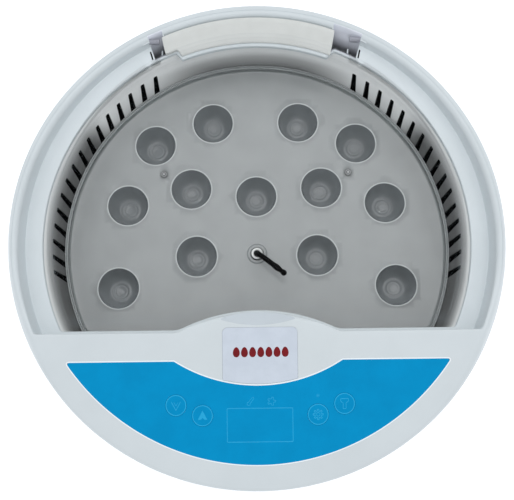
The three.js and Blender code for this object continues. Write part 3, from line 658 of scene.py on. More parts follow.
M["black"] = material("black_plastic", (22, 23, 25), (28, 29, 31), rough=0.5, rough_amp=0.1, grain=1500, bump=0.03, mottle=100)
M["probe"] = material("probe_black", (1, 1, 2), (3, 3, 4), rough=0.5, rough_amp=0.08, grain=1500, bump=0.01, mottle=200, spec=0.08)
M["rubber"] = material("foot_rubber", (38, 39, 41), (46, 47, 48), rough=0.85, rough_amp=0.08, grain=1800, bump=0.05, mottle=150)
M["board"] = material("board_green", (24, 86, 52), (28, 98, 58), rough=0.45, rough_amp=0.1, grain=700, bump=0.01, mottle=160, fleck=((150, 134, 70), 0.62, 0.64, 420))
M["led"] = material("led_lens", (236, 238, 230), (244, 246, 238), rough=0.18, rough_amp=0.04, grain=800, bump=0.004, mottle=200, alpha=0.75, alpha_edge=0.95, tint=(255, 255, 250))
M["white"] = material("small_white", (224, 226, 224), (232, 234, 232), rough=0.4, rough_amp=0.08, grain=1200, bump=0.01, mottle=150)
M["pin"] = material("pin_acetal_painted_shade", (150, 151, 160), (157, 158, 167), rough=0.45, rough_amp=0.08, grain=1200, bump=0.01, mottle=150, spec=0.3)
M["peg_edge"] = material("peg_edge_painted_shadow", (98, 100, 101), (106, 108, 109), rough=0.35, rough_amp=0.06, grain=1200, bump=0.01, mottle=150)
M["peg"] = material("peg_grey", (188, 190, 190), (196, 198, 198), rough=0.35, rough_amp=0.06, grain=1200, bump=0.01, mottle=150)
M["heater"] = material("heater_metal", (150, 112, 66), (168, 128, 78), rough=0.4, rough_amp=0.1, grain=900, bump=0.02, metallic=0.9, mottle=200)
M["lead"] = material("lead_rubber", (24, 24, 25), (30, 30, 31), rough=0.7, rough_amp=0.08, grain=1500, bump=0.03, mottle=150)
M["ribbon"] = material("ribbon_grey", (176, 178, 180), (190, 192, 194), rough=0.5, rough_amp=0.06, grain=900, bump=0.01, mottle=200, stretch=(6, 1, 1))
M["copper"] = material("copper_winding", (160, 96, 50), (178, 110, 60), rough=0.4, rough_amp=0.08, grain=900, bump=0.02, metallic=0.8, stretch=(1, 8, 1))


# ------------------------------------------------------------------ top cover
def topz(x, y):
    deck, rim = deck_z(x, y), Z_EDGE - (y - Y_EDGE) * RIM_FALL
    front = ((y < Y_EDGE + 3) & (np.abs(x) < 117)) | (np.hypot(x, y - ARCH_Y) < ARCH_R + 3)
    return np.where(front, deck, smin(deck, rim, 0.4))


R_FOOT = 127.1  # foot of the step round the ledge, just outside the lid's flange
PROFILE = [(134.6, 58), (135, 61), (135, 64), (134.7, 68), (133.7, 71.5), (131.9, 74.4), (129.4, 76.6), (125, 78.2), (115, 79)]


def catmull(points, n):
    p = np.array([points[0]] + list(points) + [points[-1]], float)
    out = []
    for i in range(1, len(p) - 2):
        for k in range(n):
            t = k / n
            a, b, c, d = p[i - 1], p[i], p[i + 1], p[i + 2]
            out.append(0.5 * (2 * b + (c - a) * t + (2 * a - 5 * b + 4 * c - d) * t * t + (3 * b - a - 3 * c + d) * t ** 3))
    out.append(p[-2])
    return np.array(out)


def resample(poly, count):
    poly = np.asarray(poly, float)
    d = np.r_[0, np.cumsum(np.linalg.norm(np.diff(poly, axis=0), axis=1))]
    t = np.linspace(0, d[-1], count)
    return np.column_stack([np.interp(t, d, poly[:, i]) for i in range(poly.shape[1])])


def ray_s(r):
    b = CX * DX + CY * DY
    return -b + np.sqrt(b * b - (CX * CX + CY * CY) + r * r)


def make_top_cover():
    prof = catmull(PROFILE, 14)
    smp = np.array([ray_s(r) for r in prof[:, 0]])          # (T, N)
    edge_fn = lambda g: (lambda x, y: smax(smax(np.hypot(x, y) - (R_FOOT + 0.1 * (topz(x, y) - LEDGE_Z)), Y_EDGE - y, 1.1), ARCH_R - np.hypot(x, y - ARCH_Y), 1.1) - g)
    # the head of the step is rounded 1 mm along the deck and up to 3 mm round the rim
    base = outline(edge_fn(0.0))
    px_, py_ = CX + smp * DX, CY + smp * DY
    over = prof[:, 1][:, None] > topz(px_, py_)
    first = np.argmax(over, axis=0)
    corner_r = prof[first, 0]
    base_r = np.hypot(base[:, 0], base[:, 1])
    t_ = np.clip((base[:, 1] - Y_EDGE - 2.0) / 9.0, 0, 1)
    t_ = t_ * t_ * (3 - 2 * t_)
    HR = 1.0 + (np.minimum(3.3, corner_r - 1.3 - base_r) - 1.0) * t_
    head = outline(edge_fn(HR))
    head_s = np.hypot(head[:, 0] - CX, head[:, 1] - CY)
    W, F, D = 10, 7, 13
    rows = np.zeros((W + F + D, N, 3))
    for j in range(N):
        s = smp[:, j]
        x, y = CX + s * DX[j], CY + s * DY[j]
        tz = topz(x, y)
        k = int(np.argmax(prof[:, 1] > tz))
        g0, g1 = prof[k - 1, 1] - tz[k - 1], prof[k, 1] - tz[k]
        q = -g0 / (g1 - g0)
        corner = np.array([s[k - 1] + q * (s[k] - s[k - 1]), prof[k - 1, 1] + q * (prof[k, 1] - prof[k - 1, 1])])
        wall = np.vstack([np.column_stack([s[:k], prof[:k, 1]]), corner])
        d = np.r_[0, np.cumsum(np.linalg.norm(np.diff(wall, axis=0), axis=1))]
        back = min(2.2, d[-1] * 0.5)
        tcut = d[-1] - back
        a = np.array([np.interp(tcut, d, wall[:, 0]), np.interp(tcut, d, wall[:, 1])])
        keep = np.vstack([wall[d < tcut], a])
        wpts = resample(keep, W)
        sc = corner[0] - min(2.2, (corner[0] - head_s[j]) * 0.5)
        c = np.array([sc, float(topz(CX + sc * DX[j], CY + sc * DY[j]))])
        for i, (ss, zz) in enumerate(wpts):
            rows[i, j] = (CX + ss * DX[j], CY + ss * DY[j], zz)
        for i in range(F):
            t = (i + 1) / (F + 1)
            b = (1 - t) ** 2 * a + 2 * t * (1 - t) * corner + t * t * c
            rows[W + i, j] = (CX + b[0] * DX[j], CY + b[0] * DY[j], b[1])
        for i in range(D):
            ss = sc + (head_s[j] - sc) * i / D
            px, py = CX + ss * DX[j], CY + ss * DY[j]
            rows[W + F + i, j] = (px, py, float(topz(px, py)))
    loops = [rows[i] for i in range(W + F + D)]
    # rounded head of the step, drafted wall, rounded foot
    for i in range(8):
        t = i / 7 * pi / 2
        o = outline(edge_fn(HR * (1 - math.sin(t))))
        loops.append(loop(o, topz(o[:, 0], o[:, 1]) - HR * (1 - math.cos(t))))
    top = loops[-1]
    FOOT_F = 0.3
    foot = outline(region(R_FOOT, Y_EDGE, ARCH_R, 1.1))
    foot3 = loop(foot, LEDGE_Z + FOOT_F)
    for t in (0.33, 0.66, 1.0):
        loops.append(top * (1 - t) + foot3 * t)
    for i in range(1, 4):
        t = i / 3 * pi / 2
        o = outline(off(region(R_FOOT, Y_EDGE, ARCH_R, 1.1), -FOOT_F * (1 - math.cos(t))))
        loops.append(loop(o, LEDGE_Z + FOOT_F * (1 - math.sin(t))))
    led = loops[-1]
    lip = loop(outline(opening(0.8)), LEDGE_Z)
    # the ledge is never narrower than a hair along the deck edge
    for t in (0.25, 0.5, 0.75, 1.0):
        loops.append(led * (1 - t) + lip * t)
    for i in range(1, 5):
        t = i / 4 * pi / 2
        loops.append(loop(outline(opening(0.8 * (1 - math.sin(t)))), LEDGE_Z - 0.8 * (1 - math.cos(t))))
    loops.append(loop(outline(opening(0)), LEDGE_Z - LEDGE_T))
    back = outline(region(129.5, Y_EDGE - WALL, ARCH_R - WALL))
    loops.append(loop(back, LEDGE_Z - LEDGE_T))
    loops.append(loop(back, np.minimum(topz(back[:, 0], back[:, 1]) - WALL, 72)))
    for r, cap in ((130.2, 72), (131.3, 70), (132.2, 66), (132.1, Z_SPLIT)):
        s = ray_s(r)
        x, y = CX + s * DX, CY + s * DY
        loops.append(np.column_stack([x, y, np.minimum(topz(x, y) - WALL, cap)]))
    v, f = loft(loops)
    ob = new_object("top_cover", v, f, [M["cover"], M["ledge"], M["dark"], M["scoop"], M["pocket"]], "base", sharp=40)
    # flat faces of the ledge take the brighter copy of the cover white: painted light
    for q in ob.data.polygons:
        if q.normal[2] > 0.9 and abs(q.center[2] - LEDGE_Z * MM) < 0.0002:
            q.material_index = 1
    # fine line between the shoulder and the crest of the rim
    zs = catmull(PROFILE, 14)
    th = np.radians(np.arange(-24.0, 204.01, 1.5))
    rg = 131.5
    px, py = rg * np.cos(th), rg * np.sin(th)
    zr = np.minimum(np.interp(-rg, -zs[::-1, 0][::-1], zs[:, 1]), topz(px, py))
    sec = [(-0.42, 0.5), (0.42, 0.5), (0.1, -0.2), (-0.1, -0.2)]
    verts = [((rg + a) * math.cos(t), (rg + a) * math.sin(t), z + h) for t, z in zip(th, zr) for a, h in sec]
    faces = []
    for i in range(len(th) - 1):
        for j in range(4):
            k = (j + 1) % 4
            faces.append((i * 4 + j, i * 4 + k, i * 4 + 4 + k, i * 4 + 4 + j))
    e = (len(th) - 1) * 4
    faces += [(3, 2, 1, 0), (e, e + 1, e + 2, e + 3)]
    boolean(ob, [(np.array(verts), faces)])
    return ob


def ring_sector(x0, x1, r0, r1, z0, z1, levels=None, n=14, grow_levels=None):
    """Part of a ring between two x planes (towards the back), optionally growing with height."""
    def poly(g):
        a, b = r0 - g, r1 + g
        xa, xb = x0 - g, x1 + g
        outer = [(x, math.sqrt(b * b - x * x)) for x in np.linspace(xb, xa, n)]
        inner_ = [(x, math.sqrt(a * a - x * x)) for x in np.linspace(xa, xb, n)]
        return np.array(outer + inner_)
    levels = grow_levels or [(z0, 0.0), (z1, 0.0)]
    return stack(poly, levels)


def stack(poly, levels, m=None):
    """Closed solid through the same outline at several heights; poly(grow) gives the outline."""
    verts, faces = [], []
    n = None
    for z, g in levels:
        p = poly(g)
        n = len(p)
        verts += [(x, y, z) for x, y in p]
    for i in range(len(levels) - 1):
        a, b = i * n, (i + 1) * n
        for j in range(n):
            k = (j + 1) % n
            faces.append((a + j, a + k, b + k, b + j))
    faces.append(tuple(range(n - 1, -1, -1)))
    t = (len(levels) - 1) * n
    faces.append(tuple(range(t, t + n)))
    # caps as triangles, because the outlines are not convex
    p0, p1 = poly(levels[0][1]), poly(levels[-1][1])
    faces = faces[:-2]
    for p, b in ((p0, 0), (p1, t)):
        v, tri = fill(ccw(p) if False else p)
        if len(v) != n:
            raise ValueError("an outline crosses itself")
        faces += [tuple(b + q for q in tr) for tr in tri]
    out = np.array(verts, float)
    if m is not None:
        out = np.array([(m @ Vector(q))[:] for q in out])
    return out, faces


def deck_stack(poly, levels):
    """stack() over the sloping deck: outlines in plan, heights square to the deck."""
    v, f = stack(poly, levels)
    return np.array([deck_pt(*q) for q in v]), f


def overlay_outline(g):
    """Film outline in plan: big arc below, straight shoulders, bulge cut out; the two outer corners are rounded."""
    r, yt, ra = OVER_R + g, OVER_Y + g, OVER_AR - g
    a0 = math.atan2(yt, math.sqrt(r * r - yt * yt))
    left, right = -pi - a0, a0
    back = 2.6
    x_r = math.sqrt(r * r - yt * yt)
    corner_r, corner_l = np.array([x_r, yt]), np.array([-x_r, yt])

    def bez(p0, p1, p2, n=7):
        return [tuple((1 - t) ** 2 * p0 + 2 * t * (1 - t) * p1 + t * t * p2) for t in np.linspace(0, 1, n)]
    d = back / r
    arc_ = [(r * math.cos(a), r * math.sin(a)) for a in np.linspace(left + d, right - d, 90)]
    xi = math.sqrt(ra * ra - (yt - OVER_AY) ** 2)
    pts = list(arc_)
    pts += bez(np.array(arc_[-1]), corner_r, np.array([x_r - back, yt]))[1:]
    pts += [(x, yt) for x in np.linspace(x_r - back, xi, 20)][1:]
    b0 = math.atan2(yt - OVER_AY, xi)
    pts += [(ra * math.cos(a), OVER_AY + ra * math.sin(a)) for a in np.linspace(b0, -pi - b0, 40)][1:]
    pts += [(x, yt) for x in np.linspace(-xi, -x_r + back, 20)][1:]
    pts += bez(np.array([-x_r + back, yt]), corner_l, np.array(arc_[0]))[1:-1]
    return ccw(np.array(pts))


def badge_outline(g):
    cx, hw, top = BADGE
    r = 2.7 + g
    x0, x1, y1 = cx - hw - g, cx + hw + g, top + g
    pts = []
    for a in np.linspace(0, pi / 2, 9):
        pts.append((x1 - r + r * math.cos(a), y1 - r + r * math.sin(a)))
    for a in np.linspace(pi / 2, pi, 9):
        pts.append((x0 + r + r * math.cos(a), y1 - r + r * math.sin(a)))
    ra = OVER_AR - 0.9 + g
    for x in np.linspace(x0, x1, 26):
        pts.append((x, OVER_AY - math.sqrt(ra * ra - x * x)))
    return ccw(np.array(pts))


def circle(x, y, r, n=40):
    a = np.arange(n) * 2 * pi / n
    return np.column_stack([x + r * np.cos(a), y + r * np.sin(a)])


def pocket_solid(x0, x1, levels, n=14):
    """levels: (z, inner radius, outer radius, side growth)"""
    def poly(g):
        a, b, gs = g
        xa, xb = x0 - gs, x1 + gs
        outer = [(x, math.sqrt(b * b - x * x)) for x in np.linspace(xb, xa, n)]
        inner_ = [(x, math.sqrt(a * a - x * x)) for x in np.linspace(xa, xb, n)]
        return np.array(outer + inner_)
    return stack(poly, [(z, (a, b, g)) for z, a, b, g in levels])


def wedge_solid(left, right, levels, n=14, lip=None):
    """Pocket whose side walls run from (x at r 119.5) to (x at r 132); lip bends its inner edge round the opening's corner."""
    def side(q, r):
        return q[0] + (q[1] - q[0]) * (r - 119.5) / 12.5

    def poly(g):
        a, b, gs = g
        outer = [(x, math.sqrt(b * b - x * x)) for x in np.linspace(side(right, b) + gs, side(left, b) - gs, n)]
        inner_ = []
        for x in np.linspace(side(left, a) - gs, side(right, a) + gs, n):
            y = math.sqrt(a * a - x * x)
            if lip:
                y = min(y, lip(x) + (a - 118.35))
            inner_.append((x, y))
        return np.array(outer + inner_)
    return stack(poly, [(z, (a, b, g)) for z, a, b, g in levels])


cover = make_top_cover()
# each pocket: side lines left and right as x at r 119.5 and at r 132
WEDGES = [((-57.0, -60.9), (-50.6, -52.9), None), ((43.8, 45.7), (57.9, 61.3), lambda x: 64.2 + x)]
for x0, x1 in POCKETS:
    boolean(cover, [pocket_solid(x0 - 3.4, x1 + 1.6, [(48.0, 119.2, 127.5, 0), (54.0, 119.2, 130.7, 0), (LEDGE_Z - 1.2, 119.2, 130.7, 0)])], "UNION")
    boolean(cover, [pocket_solid(x0 - 1.6, x1 + 1.6, [(LEDGE_Z - 2.4, 127.6, 132.3, 0), (66.9, 127.6, 132.3, 0)])], "UNION")
for (x0, x1), (left, right, lip) in zip(POCKETS, WEDGES):
    rim = float(topz(np.array([(x0 + x1) / 2]), np.array([117.0]))[0])
    ramp = [(POCKET_Z, 120.3, 121.4, 0), (53.0, 120.3, 122.6, 0), (57.0, 120.2, 124.7, 0), (60.0, 119.9, 126.7, 0), (LEDGE_Z - 0.7, 118.5, 127.7, 0), (LEDGE_Z + 0.1, 118.35, 128.4, 0),
            (64.0, 118.35, 129.2, 0), (66.0, 118.35, 129.9, 0), (rim - 0.8, 118.35, 130.3, 0), (rim - 0.2, 118.35, 130.7, 0.1), (rim + 0.15, 118.35, 131.2, 0.35), (rim + 20, 118.35, 131.3, 0.35)]
    v, f = wedge_solid(left, right, ramp, lip=lip)
    # the pocket's faces take painted shade, darker towards the bottom
    boolean(cover, [(v, f, [4] * len(f))])
    k = 1 if x0 > 0 else -1
    # rib on the ramp and a narrow slit beside the pocket
    rx = (52.9, 54.1) if k > 0 else (-53.4, -52.6)
    boolean(cover, [wedge_solid((rx[0], rx[1]), (rx[0] + 0.7, rx[1] + 0.7), [(49.5, 119.8, 124.0, 0), (60.6, 119.8, 122.6, 0), (61.2, 120.0, 122.2, -0.1)], n=4)], "UNION")
    sx = (58.7, 61.6) if k > 0 else (-58.5, -62.2)
    v, f = wedge_solid((sx[0], sx[1]), (sx[0] + 0.7, sx[1] + 0.7), [(56.0, 119.9, 123.6, 0), (LEDGE_Z - 0.2, 119.6, 124.4, 0), (LEDGE_Z + 0.4, 119.5, 124.6, 0.1), (LEDGE_Z + 2.0, 119.5, 124.6, 0.1)], n=5)
    # the slit's faces take the near-black painted shade
    boolean(cover, [(v, f, [2] * len(f))])
# finger scoop: a shallow spherical dent
cap_r = np.linspace(0, 64.8, 26)
cap_profile = [(float(r), 167.78 - math.sqrt(180.0 ** 2 - r * r)) for r in cap_r] + [(64.8, 12.0), (0, 12.0)]
v, f = lathe(cap_profile, 128)
v = np.array([(DECK_M @ Vector((p[0], p[1] + (14.3 - Y_EDGE) / C9, p[2])))[:] for p in v])
# the dent's faces take the darker copy of the cover white: painted shade
boolean(cover, [(v, f, [3] * len(f))])
boolean(cover, [deck_stack(overlay_outline, [(-1.0, 0.25), (12, 0.25)])])
boolean(cover, [deck_stack(badge_outline, [(-0.7, 0.07), (12, 0.07)])])
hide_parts("top_cover")


# ------------------------------------------------------------------ chamber liner
def wall_r(z):
    return WALL_R0 + (z - WALL_Z0) * WALL_S


YF, AF = Y_EDGE + FRONT, ARCH_R + FRONT
Z_LT = LEDGE_Z - LEDGE_T - 0.3


def chamber(z, g=0.0, k=1.6):
    return outline(off(region(wall_r(z), YF, AF, k), g))


def toward(lp, t, z, c=(CX, CY)):
    """The loop shrunk towards the middle by t, at height z."""
    xy = np.column_stack([c[0] + (lp[:, 0] - c[0]) * t, c[1] + (lp[:, 1] - c[1]) * t])
    return loop(xy, z)


def wall_cutter(angle, half0, half1, z0, z1, flare=0.45, deep=5.0, rnd=0.9, lean=0.0):
    u0, u1 = lean * (44.0 - z0), lean * (44.0 - z1)

    def poly(g):
        p = [(u0 - half0 - g, z0 - g), (u0 + half0 + g, z0 - g), (u1 + half1 + g, z1 + g), (u1 - half1 - g, z1 + g)]
        return np.array(smooth_poly(p, [0.5 + g, 0.5 + g, rnd + g, rnd + g], 4))
    v, f = stack(poly, [(-3.0, flare), (-0.02, flare), (flare, 0.0), (flare + 0.06, 0.0), (deep, 0.0)])
    n = len(poly(0))
    # the slot's side walls take the near-black painted shade
    fm = [0] * (2 * n) + [2] * (len(f) - 2 * n)
    c, s = math.cos(angle), math.sin(angle)
    out = []
    for u, z, rho in v:
        r = wall_r(z) + rho
        out.append((r * c - u * s, r * s + u * c, z))
    return np.array(out), f, fm


def paint(ob, index, rule):
    """Gives the faces that pass rule(centre in mm, normal) another of the object's materials; here it lays painted
    shade.
    """
    me = ob.data
    for p in me.polygons:
        c = p.center
        if rule((c[0] / MM, c[1] / MM, c[2] / MM), p.normal):
            p.material_index = index


def outside_wall(c, n):
    r = math.hypot(c[0], c[1])
    radial = (c[0] * n[0] + c[1] * n[1]) / max(r, 1)
    behind = r > wall_r(c[2]) + 1.2 and radial > 0.3
    front = (c[1] < YF - 1.2 or math.hypot(c[0], c[1] - ARCH_Y) < AF - 1.2) and n[1] < -0.3
    below = c[2] < FLOOR_Z - 0.5 and n[2] < -0.3
    return behind or front or below


def make_liner():
    loops = []
    flo = chamber(FLOOR_Z, -2.6)
    for t in (0.03, 0.25, 0.5, 0.75, 0.9):
        loops.append(toward(flo, t, FLOOR_Z))
    loops.append(loop(flo, FLOOR_Z))
    for i in range(1, 6):
        t = i / 5 * pi / 2
        loops.append(loop(chamber(FLOOR_Z + 2.6, -2.6 * (1 - math.sin(t))), FLOOR_Z + 2.6 * (1 - math.cos(t))))
    for z in (24, 28, 32, 35, 38, 42, 46, 50, 54, 56.5):
        loops.append(loop(chamber(z), z))
    # the wall leans out to meet the edge of the cover's opening
    loops.append(loop(chamber(58.2, 0.12), 58.2))
    loops.append(loop(outline(off(region(R_OPEN, YF, AF, 1.3), -0.12)), Z_LT + 0.22))
    loops.append(loop(outline(off(region(R_OPEN, YF, AF, 1.3), 0.3)), Z_LT + 0.22))
    loops.append(loop(chamber(Z_LT, LINER_T), Z_LT + 0.1))
    for z in (50, 38, 28, FLOOR_Z + 3.0):
        loops.append(loop(chamber(z, LINER_T), z))
    loops.append(loop(chamber(FLOOR_Z, LINER_T - 1.2), FLOOR_Z))
    bot = chamber(FLOOR_Z, -1.5)
    loops.append(loop(bot, FLOOR_Z - LINER_T))
    for t in (0.7, 0.35, 0.03):
        loops.append(toward(bot, t, FLOOR_Z - LINER_T))
    v, f = loft(loops, closed=False, cap_first=True, cap_last=True)
    ob = new_object("chamber_liner", v, f, [M["liner"], M["liner"], M["dark"]], "base", sharp=40)
    ears = []
    for a in SCREW_A:
        rot = Matrix.Rotation(rad(a), 4, "Z")
        ears.append(box_mesh(117.6, SCREW_R + 6, -6.5, 6.5, Z_LT - 3.2, Z_LT - 0.6, rot))
    posts = [lathe([(0, FLOOR_Z - 1), (3.6, FLOOR_Z - 1), (3.4, FLOOR_Z + 2), (3.3, 30.8), (3.0, 31.2), (0, 31.2)], 32, x, 44.7) for x in (-54.3, 54.3)]
    posts += [lathe([(0, FLOOR_Z - 1), (3.1, FLOOR_Z - 1), (3.0, 31), (2.7, 31.4), (0, 31.4)], 28, x, y) for x, y in ((-97, 4), (97, 4), (-50, -36), (50, -36), (0, 103))]
    boolean(ob, ears, "UNION")
    boolean(ob, posts, "UNION")
    slots = []
    for i in range(16):
        for a, k in ((121 + i * 4.5, 1), (59 - i * 4.5, -1)):
            slots.append(wall_cutter(rad(a), 1.9, 1.2, SLOT_Z0, 50.5, flare=0.24, lean=0.19 * k))
    v, f = merge(*[q[:2] for q in slots])
    boolean(ob, [(v, f, [m for q in slots for m in q[2]])])
    cuts = []
    for i in range(-3, 4):
        cuts.append(box_mesh(i * 5 - 1.4, i * 5 + 1.4, -70, -30, 38, 54))
    for i in range(-2, 3):
        for k in (-1, 1):
            cuts.append(box_mesh(k * 78 + i * 5 - 1.3, k * 78 + i * 5 + 1.3, -60, -45, 38, 52))
    for i in LEDS:
        cuts.append(lathe([(0, 10), (3, 10), (3, 17.8), (3.5, 18.3), (3.5, 20), (0, 20)], 28, CUPS[i][0], CUPS[i][1]))
    cuts.append(lathe([(0, 10), (3.5, 10), (3.5, 20), (0, 20)], 28, *PROBE))
    for a in SCREW_A:
        cuts.append(lathe([(0, 20), (4.4, 20), (4.4, 70), (0, 70)], 28, SCREW_R * math.cos(rad(a)), SCREW_R * math.sin(rad(a))))
    boolean(ob, [merge(*cuts)])
    # faces behind and under the liner take the near-black painted shade
    paint(ob, 2, lambda c, n: (c[2] < Z_LT - 0.3) and outside_wall(c, n))
    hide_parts("chamber_liner")
    return ob


liner = make_liner()


# ------------------------------------------------------------------ clear egg tray
def make_tray():
    rim = lambda z, g: outline(off(region(wall_r(z), YF, AF, 2.2), g))
    # rolled lip, flat flange, then the side falls to the sheet
    loops = [loop(rim(TRAY_RIM_Z, -0.5), TRAY_RIM_Z - 0.35), loop(rim(TRAY_RIM_Z, -0.6), TRAY_RIM_Z - 0.08), loop(rim(TRAY_RIM_Z, -0.8), TRAY_RIM_Z), loop(rim(TRAY_RIM_Z, -1.05), TRAY_RIM_Z - 0.08),
             loop(rim(TRAY_RIM_Z, -1.25), TRAY_RIM_Z - 0.25), loop(rim(TRAY_RIM_Z, -1.7), TRAY_RIM_Z - 0.32), loop(rim(TRAY_RIM_Z, -1.95), TRAY_RIM_Z - 0.16), loop(rim(TRAY_RIM_Z, -2.2), TRAY_RIM_Z - 0.24),
             loop(rim(TRAY_RIM_Z, -2.4), TRAY_RIM_Z - 0.6), loop(rim(TRAY_RIM_Z, -2.55), TRAY_RIM_Z - 1.3), loop(rim(TRAY_RIM_Z, -2.75), TRAY_Z + 1.0)]
    rim_rows = len(loops)
    for i in range(1, 6):
        t = i / 5 * pi / 2
        loops.append(loop(rim(TRAY_RIM_Z, -3.6 + 0.85 * math.cos(t)), TRAY_Z + 0.85 * (1 - math.sin(t))))
    n = N
    verts = [tuple(p) for lp in loops for p in lp]
    faces = []
    for i in range(len(loops) - 1):
        a, b = i * n, (i + 1) * n
        for j in range(n):
            k = (j + 1) % n
            faces.append((a + j, b + j, b + k, a + k))
    ring_r = CUP_R + 0.9
    holes = [circle(x, y, ring_r, 48) for x, y in CUPS] + [circle(-54.3, 44.7, 1.6, 20), circle(54.3, 44.7, 1.6, 20), circle(*PROBE, 5.9, 40)]
    border = np.array([p[:2] for p in loops[-1]])
    v, t = fill(border, holes, 4.0)
    base = len(verts)
    verts += [(x, y, TRAY_Z) for x, y in v]
    faces += [tuple(base + q for q in tr) for tr in t]
    prof = [(ring_r, TRAY_Z), (ring_r - 0.12, TRAY_Z + 0.14), (ring_r - 0.36, TRAY_Z + 0.26), (ring_r - 0.6, TRAY_Z + 0.2), (ring_r - 0.78, TRAY_Z - 0.05), (CUP_R - 0.0, TRAY_Z - 0.7), (CUP_R - 0.25, TRAY_Z - 2.2),
            (10.8, 28.6), (10.1, 26.4), (9.1, 24.3), (7.7, 22.6), (6.6, 21.75), (6.0, 21.5), (5.7, 21.5), (5.35, 21.62), (5.0, 21.68), (4.6, 21.62), (4.2, 21.45), (3.9, 21.28), (3.6, 21.24),
            (3.3, 21.26), (3.05, 21.3), (2.8, 21.26), (2.6, 21.2), (1.4, 21.2), (0.05, 21.2)]
    for x, y in CUPS:
        a = np.arange(48) * 2 * pi / 48
        b = len(verts)
        for r, z in prof:
            verts += [(x + r * math.cos(q), y + r * math.sin(q), z) for q in a]
        for i in range(len(prof) - 1):
            for j in range(48):
                k = (j + 1) % 48
                faces.append((b + i * 48 + j, b + i * 48 + k, b + (i + 1) * 48 + k, b + (i + 1) * 48 + j))
        verts.append((x, y, 21.2))
        c = len(verts) - 1
        l = b + (len(prof) - 1) * 48
        faces += [(l + j, l + (j + 1) % 48, c) for j in range(48)]
    # boss round the probe: a groove, then a slightly raised collar
    a = np.arange(40) * 2 * pi / 40
    b = len(verts)
    boss = [(5.9, TRAY_Z), (5.75, TRAY_Z - 0.22), (5.5, TRAY_Z - 0.22), (5.35, TRAY_Z + 0.1), (5.1, TRAY_Z + 0.25), (4.2, TRAY_Z + 0.28), (3.9, TRAY_Z + 0.2), (3.75, TRAY_Z - 0.1)]
    for r, z in boss:
        verts += [(PROBE[0] + r * math.cos(q), PROBE[1] + r * math.sin(q), z) for q in a]
    for i in range(len(boss) - 1):
        for j in range(40):
            k = (j + 1) % 40
            faces.append((b + i * 40 + j, b + i * 40 + k, b + (i + 1) * 40 + k, b + (i + 1) * 40 + j))
    me = bpy.data.meshes.new("egg_tray")
    me.from_pydata([tuple(q * MM for q in p) for p in verts], [], faces)
    bm = bmesh.new()
    bm.from_mesh(me)
    bmesh.ops.remove_doubles(bm, verts=bm.verts, dist=8e-6)
    bmesh.ops.dissolve_degenerate(bm, edges=bm.edges, dist=1e-6)
    bmesh.ops.recalc_face_normals(bm, faces=bm.faces)
    up = sum(fc.normal.z * fc.calc_area() for fc in bm.faces)
    if up < 0:
        bmesh.ops.reverse_faces(bm, faces=bm.faces)
    bm.to_mesh(me)
    bm.free()
    ob = bpy.data.objects.new("egg_tray_clear", me)
    bpy.context.scene.collection.objects.link(ob)
    for k in ("tray", "cup", "tray_rim", "tray_side", "cup_rim"):
        me.materials.append(M[k])
    near = lambda c: min(math.hypot(c[0] - x, c[1] - y) for x, y in CUPS)
    inside_rim = lambda c: float(region(wall_r(TRAY_RIM_Z), YF, AF, 2.2)(c[0], c[1]))
    for p in me.polygons:
        c = p.center / MM
        d, edge_ = near(c), inside_rim(c)
        # the cups take a darker copy of the clear plastic: painted shade of the hollow under them
        if d < CUP_R + 0.05 and c[2] < TRAY_Z - 0.02:
            p.material_index = 1
        # the ring round each cup takes a lighter copy of the clear plastic: painted highlight
        elif d < CUP_R + 0.75 and c[2] > TRAY_Z - 0.1:
            p.material_index = 4
        # two narrow bands on the rim take a lighter copy of the clear plastic: painted double highlight
        elif c[2] > TRAY_Z + 0.4 and (-1.15 < edge_ or -2.25 < edge_ < -1.75):
            p.material_index = 2
        elif c[2] > TRAY_Z + 0.4 and edge_ > -3.5:
            p.material_index = 3
        # the groove round the probe boss takes the cups' painted shade
        elif 5.4 < math.hypot(c[0] - PROBE[0], c[1] - PROBE[1]) < 5.88 and c[2] < TRAY_Z + 0.2:
            p.material_index = 1
    finish_shading(ob, 50)
    sol = ob.modifiers.new("sheet", "SOLIDIFY")
    sol.thickness = TRAY_T * MM
    sol.offset = -1
    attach(ob, "base")
    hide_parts("egg_tray")
    return ob


make_tray()


